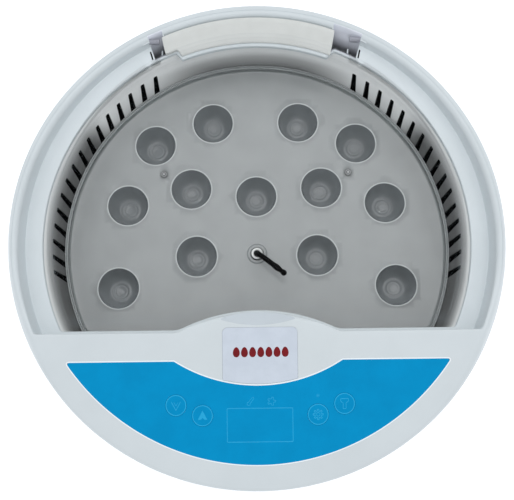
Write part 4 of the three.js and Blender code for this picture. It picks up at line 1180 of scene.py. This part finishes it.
# ------------------------------------------------------------------ clear lid
def make_lid():
    z0 = LEDGE_Z + 0.3
    yl, al = Y_EDGE + 3.6, ARCH_R + 3.6
    prof = [(0.0, z0 + 4.2), (0.55, 68), (1.2, 74), (2.0, 80), (3.0, 84), (4.4, 87), (7.0, 89.6), (11.0, 92.2), (16.0, 94.4)]

    def shell(drop, z, g=0.0, k=3.0):
        return loop(outline(off(region(LID_R - drop, yl + 0.85 * drop, al + 0.85 * drop, k), g)), z)

    def flange(g):
        body = region(R_STEP - 0.6, Y_EDGE + 0.5, ARCH_R + 0.5, 1.0)
        box = lambda x, y: smax(np.abs(x) - 62.6, 60 - y, 0.8)
        dome = region(LID_R, yl, al, 2.0)
        return outline(lambda x, y: smin(smax(body(x, y), -box(x, y), 1.2) - g, dome(x, y) - 0.35, 0.3))

    smooth = catmull(prof, 2)
    loops = []
    # inside, from the top centre down
    last_in = shell(16 + 0.0, 94.4 - LID_T, -LID_T)
    for t, z in ((0.03, LID_TOP - LID_T), (0.3, LID_TOP - LID_T - 0.35), (0.6, LID_TOP - LID_T - 1.3), (0.8, LID_TOP - LID_T - 2.2), (0.92, LID_TOP - LID_T - 3.0)):
        loops.append(toward(last_in, t, z))
    for d, z in smooth[::-1]:
        loops.append(shell(d, z - LID_T * min(1.0, d / 7.0), -LID_T * (1 - 0.25 * min(1, d / 16)), k=2.0))
    loops.append(shell(0, z0 + 0.4, -LID_T, k=2.0))
    loops.append(shell(0, z0, -LID_T + 0.4, k=2.0))
    # under and over the flange
    loops.append(loop(flange(-0.5), z0))
    for i in range(1, 4):
        t = i / 3 * pi / 2
        loops.append(loop(flange(-0.5 * (1 - math.sin(t))), z0 + 0.5 * (1 - math.cos(t))))
    for i in range(0, 4):
        t = i / 3 * pi / 2
        loops.append(loop(flange(-0.6 * (1 - math.cos(t))), z0 + 1.2 + 0.6 * math.sin(t)))
    for i in range(0, 4):
        t = i / 3 * pi / 2
        inner_ = shell(0, 0, 0.0)
        grown = shell(0, 0, 0.35 + 1.6 * (1 - math.sin(t)))
        fl = flange(-0.75)
        # keep the foot fillet inside the flange
        rg = np.hypot(grown[:, 0] - CX, grown[:, 1] - CY)
        rf = np.hypot(fl[:, 0] - CX, fl[:, 1] - CY)
        q = np.minimum(rg, rf)
        xy = np.column_stack([CX + q * DX, CY + q * DY])
        loops.append(loop(xy, z0 + 1.8 + 1.6 * (1 - math.cos(t)) * np.clip((rf - np.hypot(inner_[:, 0] - CX, inner_[:, 1] - CY)) / 2.0, 0.02, 1)))
    for d, z in smooth:
        loops.append(shell(d, z))
    last = shell(16, 94.4)
    for t, z in ((0.92, 95.4), (0.8, 96.3), (0.6, 97.15), (0.3, 97.8), (0.03, LID_TOP)):
        loops.append(toward(last, t, z))
    v, f = loft(loops, closed=False, cap_first=True, cap_last=True)
    ob = new_object("lid_clear_dome", v, f, [M["lid"]], "lid", sharp=45)
    for k in (-1, 1):
        x0, x1 = (53.6, 58.6) if k > 0 else (-58.6, -53.6)
        # arm with a rounded back: side outline in (y, z), drawn across x
        side = [(96.0, z0 + 0.02), (HINGE_Y, z0 + 0.02 - 0.32)]
        ang = np.linspace(-pi / 2, pi / 2 + 0.35, 18)
        side = [(97.0, 62.32)] + [(HINGE_Y + 3.0 * math.cos(a), HINGE_Z + 3.0 * math.sin(a)) for a in ang] + [(108.5, 66.6), (103, 66.0), (97.0, 66.4)]
        side = [(y, max(z, 62.02)) for y, z in side]
        arm = arm_mesh(side, x0, x1, 0.5)
        boolean(ob, [arm], "UNION")
        bore = lathe([(0, x0 - 1), (2.25, x0 - 1), (2.25, x0), (1.85, x0 + 0.4), (1.85, x1 - 0.4), (2.25, x1), (2.25, x1 + 1), (0, x1 + 1)], 32)
        bv = np.array([(z, HINGE_Y + x, HINGE_Z + y) for x, y, z in bore[0]])
        boolean(ob, [(bv, bore[1])])
    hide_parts("lid_dome")
    return ob


def arm_mesh(side, x0, x1, bevel):
    """Prism across x from a (y, z) outline with rounded long edges."""
    p = ccw(np.array(side))
    nrm = poly_normals(p)
    rows = []
    for i in range(4):
        t = i / 3 * pi / 2
        q = p - nrm * bevel * (1 - math.sin(t))
        rows.append(np.column_stack([np.full(len(q), x0 + bevel * (1 - math.cos(t))), q]))
    for i in range(4):
        t = i / 3 * pi / 2
        q = p - nrm * bevel * (1 - math.cos(t))
        rows.append(np.column_stack([np.full(len(q), x1 - bevel * (1 - math.sin(t))), q]))
    v, f = loft(rows, closed=False)
    f = list(f)
    n = len(p)
    for row in (0, len(rows) - 1):
        q = rows[row][:, 1:]
        vv, tri = fill(q)
        f += [tuple(row * n + i for i in tr) for tr in tri]
    return v, f


make_lid()


# ------------------------------------------------------------------ hinge cover
def make_hinge_cover():
    RM = 120.0

    def tv(x, y):
        """plan point to (arc length along RM, radius); the arc runs clockwise from the left"""
        return (math.atan2(x, y) * RM, math.hypot(x, y))
    z0 = LEDGE_Z + 0.3
    r0, r1 = NOSE_R + 0.6, 127.05
    left = [(-50.1, 104.0), (-53.2, 118.0)]
    right = [(42.6, 103.0), (46.2, 121.0)]

    def on_line(a, b, r):
        """point of line ab at radius r"""
        lo, hi = -0.5, 1.8
        for _ in range(50):
            m = (lo + hi) / 2
            x, y = a[0] + (b[0] - a[0]) * m, a[1] + (b[1] - a[1]) * m
            if math.hypot(x, y) < r:
                lo = m
            else:
                hi = m
        return (x, y)
    step_r = 117.95
    pts = []
    a = on_line(*right, r0)
    b = on_line(*right, r1)
    c = on_line(*left, r1)
    d = on_line(*left, step_r)
    # the notch follows the slanting corner of the opening
    e = (-43.9, math.sqrt(step_r ** 2 - 43.9 ** 2))
    g = (-41.4, math.sqrt(r0 ** 2 - 41.4 ** 2))
    corners = [tv(*q) for q in (a, b, c, d, e, g)]
    rounded_ = smooth_poly(corners, [0.5, 0.9, 0.9, 0.9, 0.5, 0.5], 4)
    dense = []
    for i in range(len(rounded_)):
        p, q = np.array(rounded_[i]), np.array(rounded_[(i + 1) % len(rounded_)])
        k = max(1, int(np.linalg.norm(q - p) / 1.6))
        dense += [tuple(p + (q - p) * t / k) for t in range(k)]

    def ztop(r):
        t = np.clip((r - (NOSE_R + 1.1)) / (R_STEP - 1.2 - NOSE_R - 1.1), -0.1, 1.1)
        return 63.1 + (67.45 - 63.1) * (t ** 0.9 if t > 0 else t)

    def top(u, r, drop):
        an = u / RM
        return (r * math.sin(an), r * math.cos(an), ztop(r) - drop)

    def bottom(u, r):
        an = u / RM
        return (r * math.sin(an), r * math.cos(an), z0)
    v, f = plate(np.array(dense), [], top, bottom, bevel=0.4, steps=4, grid=2.2)
    ob = new_object("hinge_cover_bar", v, f, [M["bar"]], "base", sharp=35)
    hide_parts("hinge_cover")
    return ob


make_hinge_cover()


# ------------------------------------------------------------------ base bowl
def make_base():
    outer = rounded([(0.0, 4.0), (118.0, 4.0), (126.0, 7.0), (130.2, 14.0), (134.0, 50.0), (134.6, Z_SPLIT - 0.3)], [0, 3.0, 5.0, 6.0, 4.0, 0], 8)
    lip = [(134.2, Z_SPLIT - 0.3), (132.4, Z_SPLIT - 0.3), (132.0, Z_SPLIT - 0.6)]
    inner_ = rounded([(131.9, 50.0), (127.2, 14.0), (117.0, 6.6), (0.0, 6.6)], [0, 5.0, 4.0, 0], 6)
    prof = outer[:-1] + [(134.6, Z_SPLIT - 0.8), (134.5, Z_SPLIT - 0.45), (134.2, Z_SPLIT - 0.3)] + lip[1:] + inner_
    v, f = lathe([(max(r, 0.0), z) for r, z in prof], 240)
    ob = new_object("base_bowl", v, f, [M["shell"], M["shell"], M["dark"]], "base", sharp=40)
    rot = Matrix.Rotation(rad(INLET_A), 4, "Z")
    rect = lambda g: np.array(smooth_poly([(-10.8 - g, INLET_Z - 6.8 - g), (10.8 + g, INLET_Z - 6.8 - g), (10.8 + g, INLET_Z + 6.8 + g), (-10.8 - g, INLET_Z + 6.8 + g)], 1.0 + g, 5))
    v, f = stack(rect, [(108, 0), (131.2, 0), (133.0, 0.9), (140, 0.9)])
    v = np.array([(rot @ Vector((r, u, z)))[:] for u, z, r in v])
    boolean(ob, [(v, f)])
    cuts = []
    for i in range(6):
        x0 = -27 + i * 10.5
        slot_ = lambda g, x0=x0: np.array(smooth_poly([(x0 - g, -100 - g), (x0 + 2.5 + g, -100 - g), (x0 + 2.5 + g, -80 + g), (x0 - g, -80 + g)], 1.2, 5))
        cuts.append(stack(slot_, [(2, 0.5), (3.98, 0.5), (4.5, 0), (8, 0)]))
    for a in FOOT_A:
        cuts.append(lathe([(0, 2), (3.0, 2), (3.0, 8), (0, 8)], 28, FOOT_R * math.cos(rad(a)), FOOT_R * math.sin(rad(a))))
    for a in SCREW_A:
        cuts.append(lathe([(0, -2), (4.6, -2), (4.3, 4.5), (3.8, 12), (3.8, 17), (1.9, 17), (1.9, 40), (0, 40)], 28, SCREW_R * math.cos(rad(a)), SCREW_R * math.sin(rad(a))))
    posts = []
    for a in SCREW_A:
        posts.append(lathe([(0, 10.0), (4.9, 10.0), (4.8, 27.6), (4.4, 28), (0, 28)], 28, SCREW_R * math.cos(rad(a)), SCREW_R * math.sin(rad(a))))
    for x, y in ((-60, 40), (60, 40), (0, 84), (-40, -40), (40, -40)):
        posts.append(lathe([(0, 5.6), (3.1, 5.6), (3, 9.2), (2.7, 9.5), (0, 9.5)], 24, x, y))
    for x, y in ((-28, -104), (28, -104), (-28, -76), (28, -76)):
        posts.append(lathe([(0, 5.6), (3.1, 5.6), (3, 11.4), (2.7, 11.7), (0, 11.7)], 24, x, y))
    boolean(ob, [merge(*posts)], "UNION")
    boolean(ob, [merge(*cuts)])
    # the inside of the bowl takes the near-black painted shade
    paint(ob, 2, lambda c, n: c[2] > 6.0 and math.hypot(c[0], c[1]) < 132.7 and not (c[2] > Z_SPLIT - 1.2) and (n[2] > 0.3 or (c[0] * n[0] + c[1] * n[1]) < -0.2))
    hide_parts("base_shell")
    return ob


make_base()


# ------------------------------------------------------------------ printed panel
def ridge(path, width=0.4, height=0.1, w0=0.12, closed=True, centre=(0.0, 0.0)):
    """Raised line on the film along a plan path."""
    p = np.asarray(path, float) + np.array(centre)
    if closed:
        d = np.roll(p, -1, 0) - np.roll(p, 1, 0)
    else:
        d = np.gradient(p, axis=0)
    d /= np.maximum(np.linalg.norm(d, axis=1, keepdims=True), 1e-9)
    nrm = np.column_stack([-d[:, 1], d[:, 0]])
    if closed:
        e0 = p - np.roll(p, 1, 0)
        e0 /= np.maximum(np.linalg.norm(e0, axis=1, keepdims=True), 1e-9)
        k = 1 / np.clip(np.abs((np.column_stack([-e0[:, 1], e0[:, 0]]) * nrm).sum(1)), 0.5, 1)
        nrm = nrm * k[:, None]
    sec = [(-0.5, -0.05), (-0.42, height * 0.7), (-0.22, height), (0.22, height), (0.42, height * 0.7), (0.5, -0.05)]
    verts, faces = [], []
    m = len(sec)
    for q, nn in zip(p, nrm):
        for a, h in sec:
            x, y = q + nn * a * width
            verts.append(deck_pt(x, y, w0 + h))
    n = len(p)
    for i in range(n if closed else n - 1):
        a, b = i * m, ((i + 1) % n) * m
        for j in range(m):
            k = (j + 1) % m
            faces.append((a + j, a + k, b + k, b + j))
    if not closed:
        faces.append(tuple(range(m - 1, -1, -1)))
        faces.append(tuple((n - 1) * m + j for j in range(m)))
    return np.array(verts), faces


def pad(points, height=0.1, w0=0.12, centre=(0.0, 0.0), bevel=0.08):
    """Raised filled shape on the film."""
    p = ccw(np.asarray(points, float) + np.array(centre))
    return plate(p, [], lambda x, y, d: deck_pt(x, y, w0 + height - d), lambda x, y: deck_pt(x, y, w0 - 0.05), bevel=bevel, steps=2)


def arc_pts(cx, cy, r, a0, a1, n):
    return [(cx + r * math.cos(rad(a)), cy + r * math.sin(rad(a))) for a in np.linspace(a0, a1, n)]


def chevron(sign, s=1.0):
    """Arrow head outline pointing up (1) or down (-1)."""
    p = [(0, 2.6), (2.55, -1.9), (1.5, -2.3), (0, 0.2), (-1.5, -2.3), (-2.55, -1.9)]
    return np.array([(x * s, sign * y * s) for x, y in p])


def gear(r0, r1, teeth, cx=0, cy=0):
    pts = []
    for i in range(teeth):
        a = 360 / teeth * i
        w = 360 / teeth
        for da, r in ((-0.27, r0), (-0.17, r1), (0.17, r1), (0.27, r0)):
            pts.append((cx + r * math.cos(rad(a + da * w)), cy + r * math.sin(rad(a + da * w))))
    return np.array(pts)


def dense_path(p, step=0.35, closed=True):
    p = [np.array(q, float) for q in p]
    out = []
    m = len(p)
    for i in range(m if closed else m - 1):
        a, b = p[i], p[(i + 1) % m]
        k = max(1, int(np.linalg.norm(b - a) / step))
        out += [tuple(a + (b - a) * t / k) for t in range(k)]
    if not closed:
        out.append(tuple(p[-1]))
    return np.array(out)


def make_panel():
    key_at = {k: (x + PANEL_X, y) for k, (x, y) in KEYS.items()}
    film = plate(overlay_outline(0), [circle(x, y, 5.56, 64) for x, y in key_at.values()], lambda x, y, d: deck_pt(x, y, 0.12 - d), lambda x, y: deck_pt(x, y, -0.7), bevel=0.1, steps=2, grid=6.0)
    lines = []
    dx, dy, dw, dh = DISPLAY
    rect = smooth_poly([(-dw / 2, -dh / 2), (dw / 2, -dh / 2), (dw / 2, dh / 2), (-dw / 2, dh / 2)], 0.5, 4)
    lines.append(ridge(dense_path(rect, 1.5), 0.5, 0.09, centre=(dx - 0.2, dy - 0.7)))
    # thermometer mark
    th = arc_pts(0, -1.5, 0.85, 130, 410, 18) + arc_pts(0, 2.1, 0.5, 0, 180, 8)
    c, s = math.cos(rad(-38)), math.sin(rad(-38))
    th = [(x * c - y * s, x * s + y * c) for x, y in th]
    lines.append(ridge(dense_path(th, 0.4), 0.36, 0.08, centre=(-5.1 + PANEL_X, -88.9)))
    # fan mark
    lines.append(ridge(dense_path(gear(1.35, 2.15, 5), 0.3), 0.36, 0.07, centre=(6.6, -88.9)))
    # lamp window
    lines.append(ridge(circle(0, 0, 0.7, 28), 0.22, 0.05, centre=(LED_DOT[0] + PANEL_X, LED_DOT[1])))
    lines.append(pad(circle(0, 0, 0.36, 20), 0.05, centre=(LED_DOT[0] + PANEL_X, LED_DOT[1]), bevel=0.03))
    v1, f1 = film
    v2, f2 = merge(*lines)
    v3, f3 = ridge(overlay_outline(0.28), 0.66, 0.2, w0=0.0)
    v, f = merge((v1, f1), (v2, f2), (v3, f3))
    # the raised lines take the lighter film; the border bead is a raised ridge that catches light, and its white is
    # brighter than the cover: painted highlight along the film's edge
    fm = [0] * len(f1) + [1] * len(f2) + [2] * len(f3)
    ob = new_object("control_film", v, f, [M["blue"], M["blue_line"], M["bead"]], "base", face_mats=fm, sharp=30, weld=False)
    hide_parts("control_overlay")
    # keys
    marks = {
        "key_down": [ridge(dense_path([(-2.45, 1.9), (0, -2.5), (2.45, 1.9)], 0.4, closed=False), 0.5, 0.08, w0=0.2, closed=False),
                     ridge(dense_path([(-1.05, 1.6), (0, -0.35), (1.05, 1.6)], 0.4, closed=False), 0.34, 0.07, w0=0.2, closed=False)],
        "key_up": [pad([(0, 2.7), (2.5, -2.0), (1.25, -2.2), (0, -1.2), (-1.25, -2.2), (-2.5, -2.0)], 0.09, w0=0.2)],
        "key_candler": [ridge(dense_path(gear(1.75, 2.65, 8), 0.35), 0.42, 0.08, w0=0.2), ridge(circle(0, 0, 0.9, 24), 0.36, 0.08, w0=0.2)],
        "key_settings": [ridge(dense_path(smooth_poly([(-2.0, 2.5), (2.0, 2.5), (2.0, 1.2), (0.75, 0.3), (0.75, -2.6), (-0.75, -2.6), (-0.75, 0.3), (-2.0, 1.2)], 0.25, 3), 0.35), 0.42, 0.08, w0=0.2)],
    }
    for name, (x, y) in key_at.items():
        r = 5.5
        prof = [(0, -0.54), (r - 0.15, -0.54), (r - 0.05, -0.48), (r, -0.4), (r, 0.0), (r - 0.04, 0.1), (r - 0.14, 0.17), (r - 0.35, 0.2), (r - 1.6, 0.2), (2.0, 0.2), (0, 0.2)]
        kv, kf = lathe(prof, 64)
        # plan circle on the slope
        kv = np.array([deck_pt(x + a, y + b, w) for a, b, w in kv])
        sv, sf = lathe([(0, -5.0), (1.5, -5.0), (1.6, -4.8), (1.6, -0.4), (0, -0.4)], 24)
        sv = np.array([deck_pt(x + a, y + b, w) for a, b, w in sv])
        parts = [(kv, kf), (sv, sf)]
        ring = ridge(circle(0, 0, 5.14, 72), 0.62, 0.09, w0=0.2, centre=(x, y))
        parts.append(ring)
        fm = [0] * (len(kf) + len(sf)) + [1] * len(ring[1])
        for mv, mf in marks[name]:
            pts = []
            for q in mv:  # move the mark, drawn about the origin of the deck, onto its key
                w = ((Vector(q) - Vector((0, 0, 0))).dot(Vector((0, -S9, C9))) - (Vector(deck_pt(0, 0, 0))).dot(Vector((0, -S9, C9))))
                px, py = q[0], q[1] + S9 * w
                pts.append(deck_pt(px + x, py + y, w))
            parts.append((np.array(pts), mf))
            fm += [1] * len(mf)
        v, f = merge(*parts)
        kb = new_object(name + "_cap", v, f, [M["blue"], M["blue_line"]], name + "_body", face_mats=fm, sharp=30, weld=False)
        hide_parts(name)


make_panel()


def make_badge():
    v1, f1 = plate(badge_outline(0), [], lambda x, y, d: deck_pt(x, y, 0.15 - d), lambda x, y: deck_pt(x, y, -0.35), bevel=0.12, steps=3, grid=5.0)
    eggs = []
    for i in range(7):
        cx = BADGE[0] + 0.4 + (i - 3) * 4.25
        pts = []
        for a in np.linspace(0, 2 * pi, 33)[:-1]:
            y = 2.62 * math.sin(a)
            x = 1.78 * math.cos(a) * (1 - 0.16 * math.sin(a))
            pts.append((cx + x, -63.6 + y))
        eggs.append(plate(ccw(np.array(pts)), [], lambda x, y, d: deck_pt(x, y, 0.2 - d), lambda x, y: deck_pt(x, y, 0.08), bevel=0.04, steps=2))
    v2, f2 = merge(*eggs)
    v, f = merge((v1, f1), (v2, f2))
    ob = new_object("badge_label", v, f, [M["badge"], M["red"]], "base", face_mats=[0] * len(f1) + [1] * len(f2), sharp=30, weld=False)
    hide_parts("badge_plate")


make_badge()


# ------------------------------------------------------------------ probe, pegs, pins, feet, screws, inlet
def sweep(path, radius, seg=20, cap=True):
    """Round rod along a smooth path; radius may be a list along the path."""
    p = np.asarray(path, float)
    t = np.gradient(p, axis=0)
    t /= np.linalg.norm(t, axis=1, keepdims=True)
    up = np.array([0, 0, 1.0]) if abs(t[0][2]) < 0.9 else np.array([1.0, 0, 0])
    u = np.cross(up, t[0])
    u /= np.linalg.norm(u)
    loops = []
    a = np.arange(seg) * 2 * pi / seg
    for i in range(len(p)):
        u = u - t[i] * np.dot(u, t[i])
        u /= np.linalg.norm(u)
        w = np.cross(t[i], u)
        r = radius[i] if hasattr(radius, "__len__") else radius
        loops.append(p[i] + r * (np.cos(a)[:, None] * u + np.sin(a)[:, None] * w))
    return loft(loops, closed=False, cap_first=cap, cap_last=cap)


def lathe_piece(name, prof, mat, node_name, body="base", x=0, y=0, seg=64, sharp=35, cuts=(), m=None):
    v, f = lathe(prof, seg, x, y, m)
    ob = new_object(name, v, f, [mat], body, sharp=sharp)
    for c in cuts:
        boolean(ob, [c], sharp=sharp)
    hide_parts(node_name)
    return ob


px, py = PROBE
path = catmull([(px, py, 13.5), (px, py, 22), (px, py, 32), (px + 1, py - 1, 37.5), (px + 4.2, py - 4, 41.5), (px + 9, py - 8.3, 44.3), (px + 12.4, py - 11.3, 45.6), (px + 16.2, py - 14.6, 47.0)], 10)
path = resample(path, 90)
tt = np.linspace(0, 1, 90)
rr = 1.5 + 0.0 * tt
rr = rr + 0.33 * np.exp(-((tt - 0.845) / 0.035) ** 2) - 0.28 * np.exp(-((tt - 0.918) / 0.016) ** 2) + 0.2 * np.clip((tt - 0.935) / 0.02, 0, 1)
rr = rr + 0.3 * np.exp(-((tt - 0.43) / 0.05) ** 4)
rr = rr * np.sqrt(np.clip(1 - ((tt - 0.965) / 0.0352).clip(0, 1) ** 2, 0.02, 1))
v, f = sweep(path, rr, 24)
ob = new_object("probe_rod", v, f, [M["probe"]], "base", sharp=40)
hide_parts("probe_sensor")
lathe_piece("probe_grommet_ring", [(1.9, 14.5), (3.15, 14.5), (3.15, 18.3), (5.6, 18.3), (5.7, 18.6), (5.6, 20.0), (5.2, 20.4), (3.15, 20.8), (3.1, 33.9), (3.3, 34.2), (3.3, 34.6), (3.05, 34.9), (2.3, 34.9), (1.95, 34.6)],
            M["white"], "probe_grommet", x=px, y=py)
for nm, x in (("left", -54.3), ("right", 54.3)):
    turn45 = Matrix.Translation((x, 44.7, 0)) @ Matrix.Rotation(rad(45), 4, "Z")
    stud = box_mesh(-0.48, 0.48, -0.48, 0.48, TRAY_Z + 0.4, TRAY_Z + 1.15, turn45)
    peg = lathe_piece("tray_peg_head_" + nm, [(0, 25), (1, 25), (1, TRAY_Z + 0.2), (2.0, TRAY_Z + 0.2), (2.1, TRAY_Z + 0.32), (2.05, TRAY_Z + 0.6), (1.8, TRAY_Z + 0.75), (1.5, TRAY_Z + 0.78), (1.25, TRAY_Z + 0.7), (1.15, TRAY_Z + 0.55), (0, TRAY_Z + 0.55)],
                      M["peg"], "tray_peg_" + nm, x=x, y=44.7, seg=40)
    boolean(peg, [stud], "UNION")
    peg.data.materials.append(M["peg_edge"])
    # the flange's outer edge and the groove in the head take a darker grey: painted contact shadow and painted shade
    paint(peg, 1, lambda c, n, x=x: math.hypot(c[0] - x, c[1] - 44.7) > 1.6 or (0.8 < math.hypot(c[0] - x, c[1] - 44.7) < 1.2 and c[2] < TRAY_Z + 0.72))
ACROSS = Matrix(((0, 0, 1, 0), (0, 1, 0, HINGE_Y), (-1, 0, 0, HINGE_Z), (0, 0, 0, 1)))
# the white acetal pins take a greyed colour: painted shade of the pockets
for nm, x0, x1 in (("left", -66, -54), ("right", 54, 66)):
    lathe_piece("hinge_pin_rod_" + nm, [(0, x0), (1.2, x0), (1.5, x0 + 0.35), (1.5, x1 - 0.35), (1.2, x1), (0, x1)], M["pin"], "hinge_pin_" + nm, seg=32, m=ACROSS)
for i, a in enumerate(FOOT_A):
    nm = ["rear_right", "rear_left", "front_left", "front_right"][i]
    x, y = FOOT_R * math.cos(rad(a)), FOOT_R * math.sin(rad(a))
    lathe_piece("foot_pad_" + nm, [(0, 0.0), (6.9, 0.0), (7.5, 0.25), (7.9, 0.9), (8.0, 1.8), (8.0, 3.3), (7.7, 3.7), (2.7, 3.7), (2.7, 6.8), (2.2, 7.6), (0, 7.6)], M["rubber"], "foot_" + nm, x=x, y=y, seg=48)
for i, a in enumerate(SCREW_A):
    x, y = SCREW_R * math.cos(rad(a)), SCREW_R * math.sin(rad(a))
    cross = [box_mesh(x - 2.2, x + 2.2, y - 0.4, y + 0.4, 13, 14.9), box_mesh(x - 0.4, x + 0.4, y - 2.2, y + 2.2, 13, 14.9)]
    lathe_piece("case_screw_head_%d" % (i + 1), [(0, 14.0), (2.4, 14.0), (3.0, 14.4), (3.3, 15.2), (3.3, 16.5), (1.35, 16.6)] + [(1.35 - 0.25 * (k % 2), 16.6 + 0.6 * k) for k in range(1, 45)] + [(0, 44)],
                M["steel"], "case_screw_%d" % (i + 1), x=x, y=y, seg=24, cuts=cross)


def make_inlet():
    rot = Matrix.Rotation(rad(INLET_A), 4, "Z")
    rect = lambda hw, hz, r: (lambda g: np.array(smooth_poly([(-hw - g, INLET_Z - hz - g), (hw + g, INLET_Z - hz - g), (hw + g, INLET_Z + hz + g), (-hw - g, INLET_Z + hz + g)], r, 5)))
    turn = lambda vf: (np.array([(rot @ Vector((r, u, z)))[:] for u, z, r in vf[0]]), vf[1])
    ob_v, ob_f = turn(stack(rect(10.4, 6.4, 1.4), [(114, 0), (130.2, 0), (130.9, -0.5)]))
    ob = new_object("power_inlet_socket", ob_v, ob_f, [M["black"]], "base", sharp=35)
    boolean(ob, [turn(stack(rect(13.5, 9, 2), [(122.4, -0.3), (122.7, 0), (124.3, 0), (124.6, -0.3)]))], "UNION")
    boolean(ob, [turn(stack(rect(7.5, 4.2, 2.0), [(118, 0), (129.9, 0), (131.3, 0.6), (140, 0.6)]))])
    pins = []
    for u in (-3.8, 3.8):
        pin = stack(lambda g, u=u: circle(u, INLET_Z, 1.1 + g, 20), [(116.5, 0), (126.6, 0), (127.5, -0.5)])
        pins.append(turn(pin))
    boolean(ob, [merge(*pins)], "UNION")
    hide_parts("power_inlet")


make_inlet()


# ------------------------------------------------------------------ carried-over pieces
CARRIED = {"control_board": "board", "power_board": "board", "candler_board": "board", "fan_frame": "black", "fan_rotor": "black",
           "heater_element": "heater", "heater_bracket": "steel", "thermal_cutoff": "black", "transformer": "copper", "filter_capacitor": "black",
           "mains_lead": "lead", "ribbon_cable": "ribbon", "buzzer": "black", "display_module": "black", "status_led": "led",
           "switch_down": "black", "switch_up": "black", "switch_candler": "black", "switch_settings": "black"}
CARRIED.update({"candler_led_%d" % i: "led" for i in range(1, 10)})
for n, o in NODES.items():
    if o.hide_render:
        continue
    mk = CARRIED.get(n, "shell")
    o.data.materials.clear()
    o.data.materials.append(M[mk])

# ------------------------------------------------------------------ floor, light and camera
def make_floor():
    n = 60
    xs = np.linspace(-2.2, 2.2, n)
    verts = [(x, y, -0.0002) for y in xs for x in xs]
    faces = [(j * n + i, j * n + i + 1, (j + 1) * n + i + 1, (j + 1) * n + i) for j in range(n - 1) for i in range(n - 1)]
    me = bpy.data.meshes.new("studio_floor")
    me.from_pydata(verts, [], faces)
    ob = bpy.data.objects.new("studio_floor", me)
    bpy.context.scene.collection.objects.link(ob)
    m = material("floor_pale", (250, 250, 251), (252, 252, 253), rough=0.9, rough_amp=0.03, grain=60, bump=0.0, mottle=3, spec=0.1, emit=0.35)
    me.materials.append(m)


def area(name, loc, target, size, power, color=(1, 1, 1)):
    d = bpy.data.lights.new(name, "AREA")
    d.shape, d.size, d.energy, d.color = "DISK", size, power, color
    o = bpy.data.objects.new(name, d)
    bpy.context.scene.collection.objects.link(o)
    o.location = loc
    o.rotation_mode = "QUATERNION"
    o.rotation_quaternion = (Vector(target) - Vector(loc)).to_track_quat("-Z", "Y")
    return o


make_floor()
area("key_above", (0.15, 0.2, 1.6), (0, 0, 0), 1.0, 4.0, (1.0, 0.995, 0.985))
area("fill_left", (-0.7, 0.9, 1.3), (0, 0, 0.03), 0.12, 1.0, (0.96, 0.98, 1.0))
area("fill_right", (0.7, 0.9, 1.3), (0, 0, 0.03), 0.12, 1.3, (1.0, 0.99, 0.97))
world = bpy.data.worlds.new("studio")
bpy.context.scene.world = world
world.use_nodes = True
bg = world.node_tree.nodes["Background"]
bg.inputs["Color"].default_value = (0.945, 0.97, 1.0, 1)
bg.inputs["Strength"].default_value = 0.84

cam_data = bpy.data.cameras.new("camera")
cam_data.lens, cam_data.sensor_width, cam_data.sensor_fit = 61.8, 36.0, "HORIZONTAL"
cam_data.clip_start, cam_data.clip_end = 0.01, 20
cam = bpy.data.objects.new("camera", cam_data)
bpy.context.scene.collection.objects.link(cam)
target, eye = Vector((0, -0.0076, 0.065)), Vector((0, -0.0992, 0.5362))
cam.location = eye
cam.rotation_mode = "QUATERNION"
from mathutils import Quaternion
cam.rotation_quaternion = (target - eye).to_track_quat("-Z", "Y") @ Quaternion((0, 0, 1), rad(-0.7))
bpy.context.scene.camera = cam
vs = bpy.context.scene.view_settings
vs.view_transform, vs.look, vs.exposure, vs.gamma = "Standard", "None", 0.0, 1.0
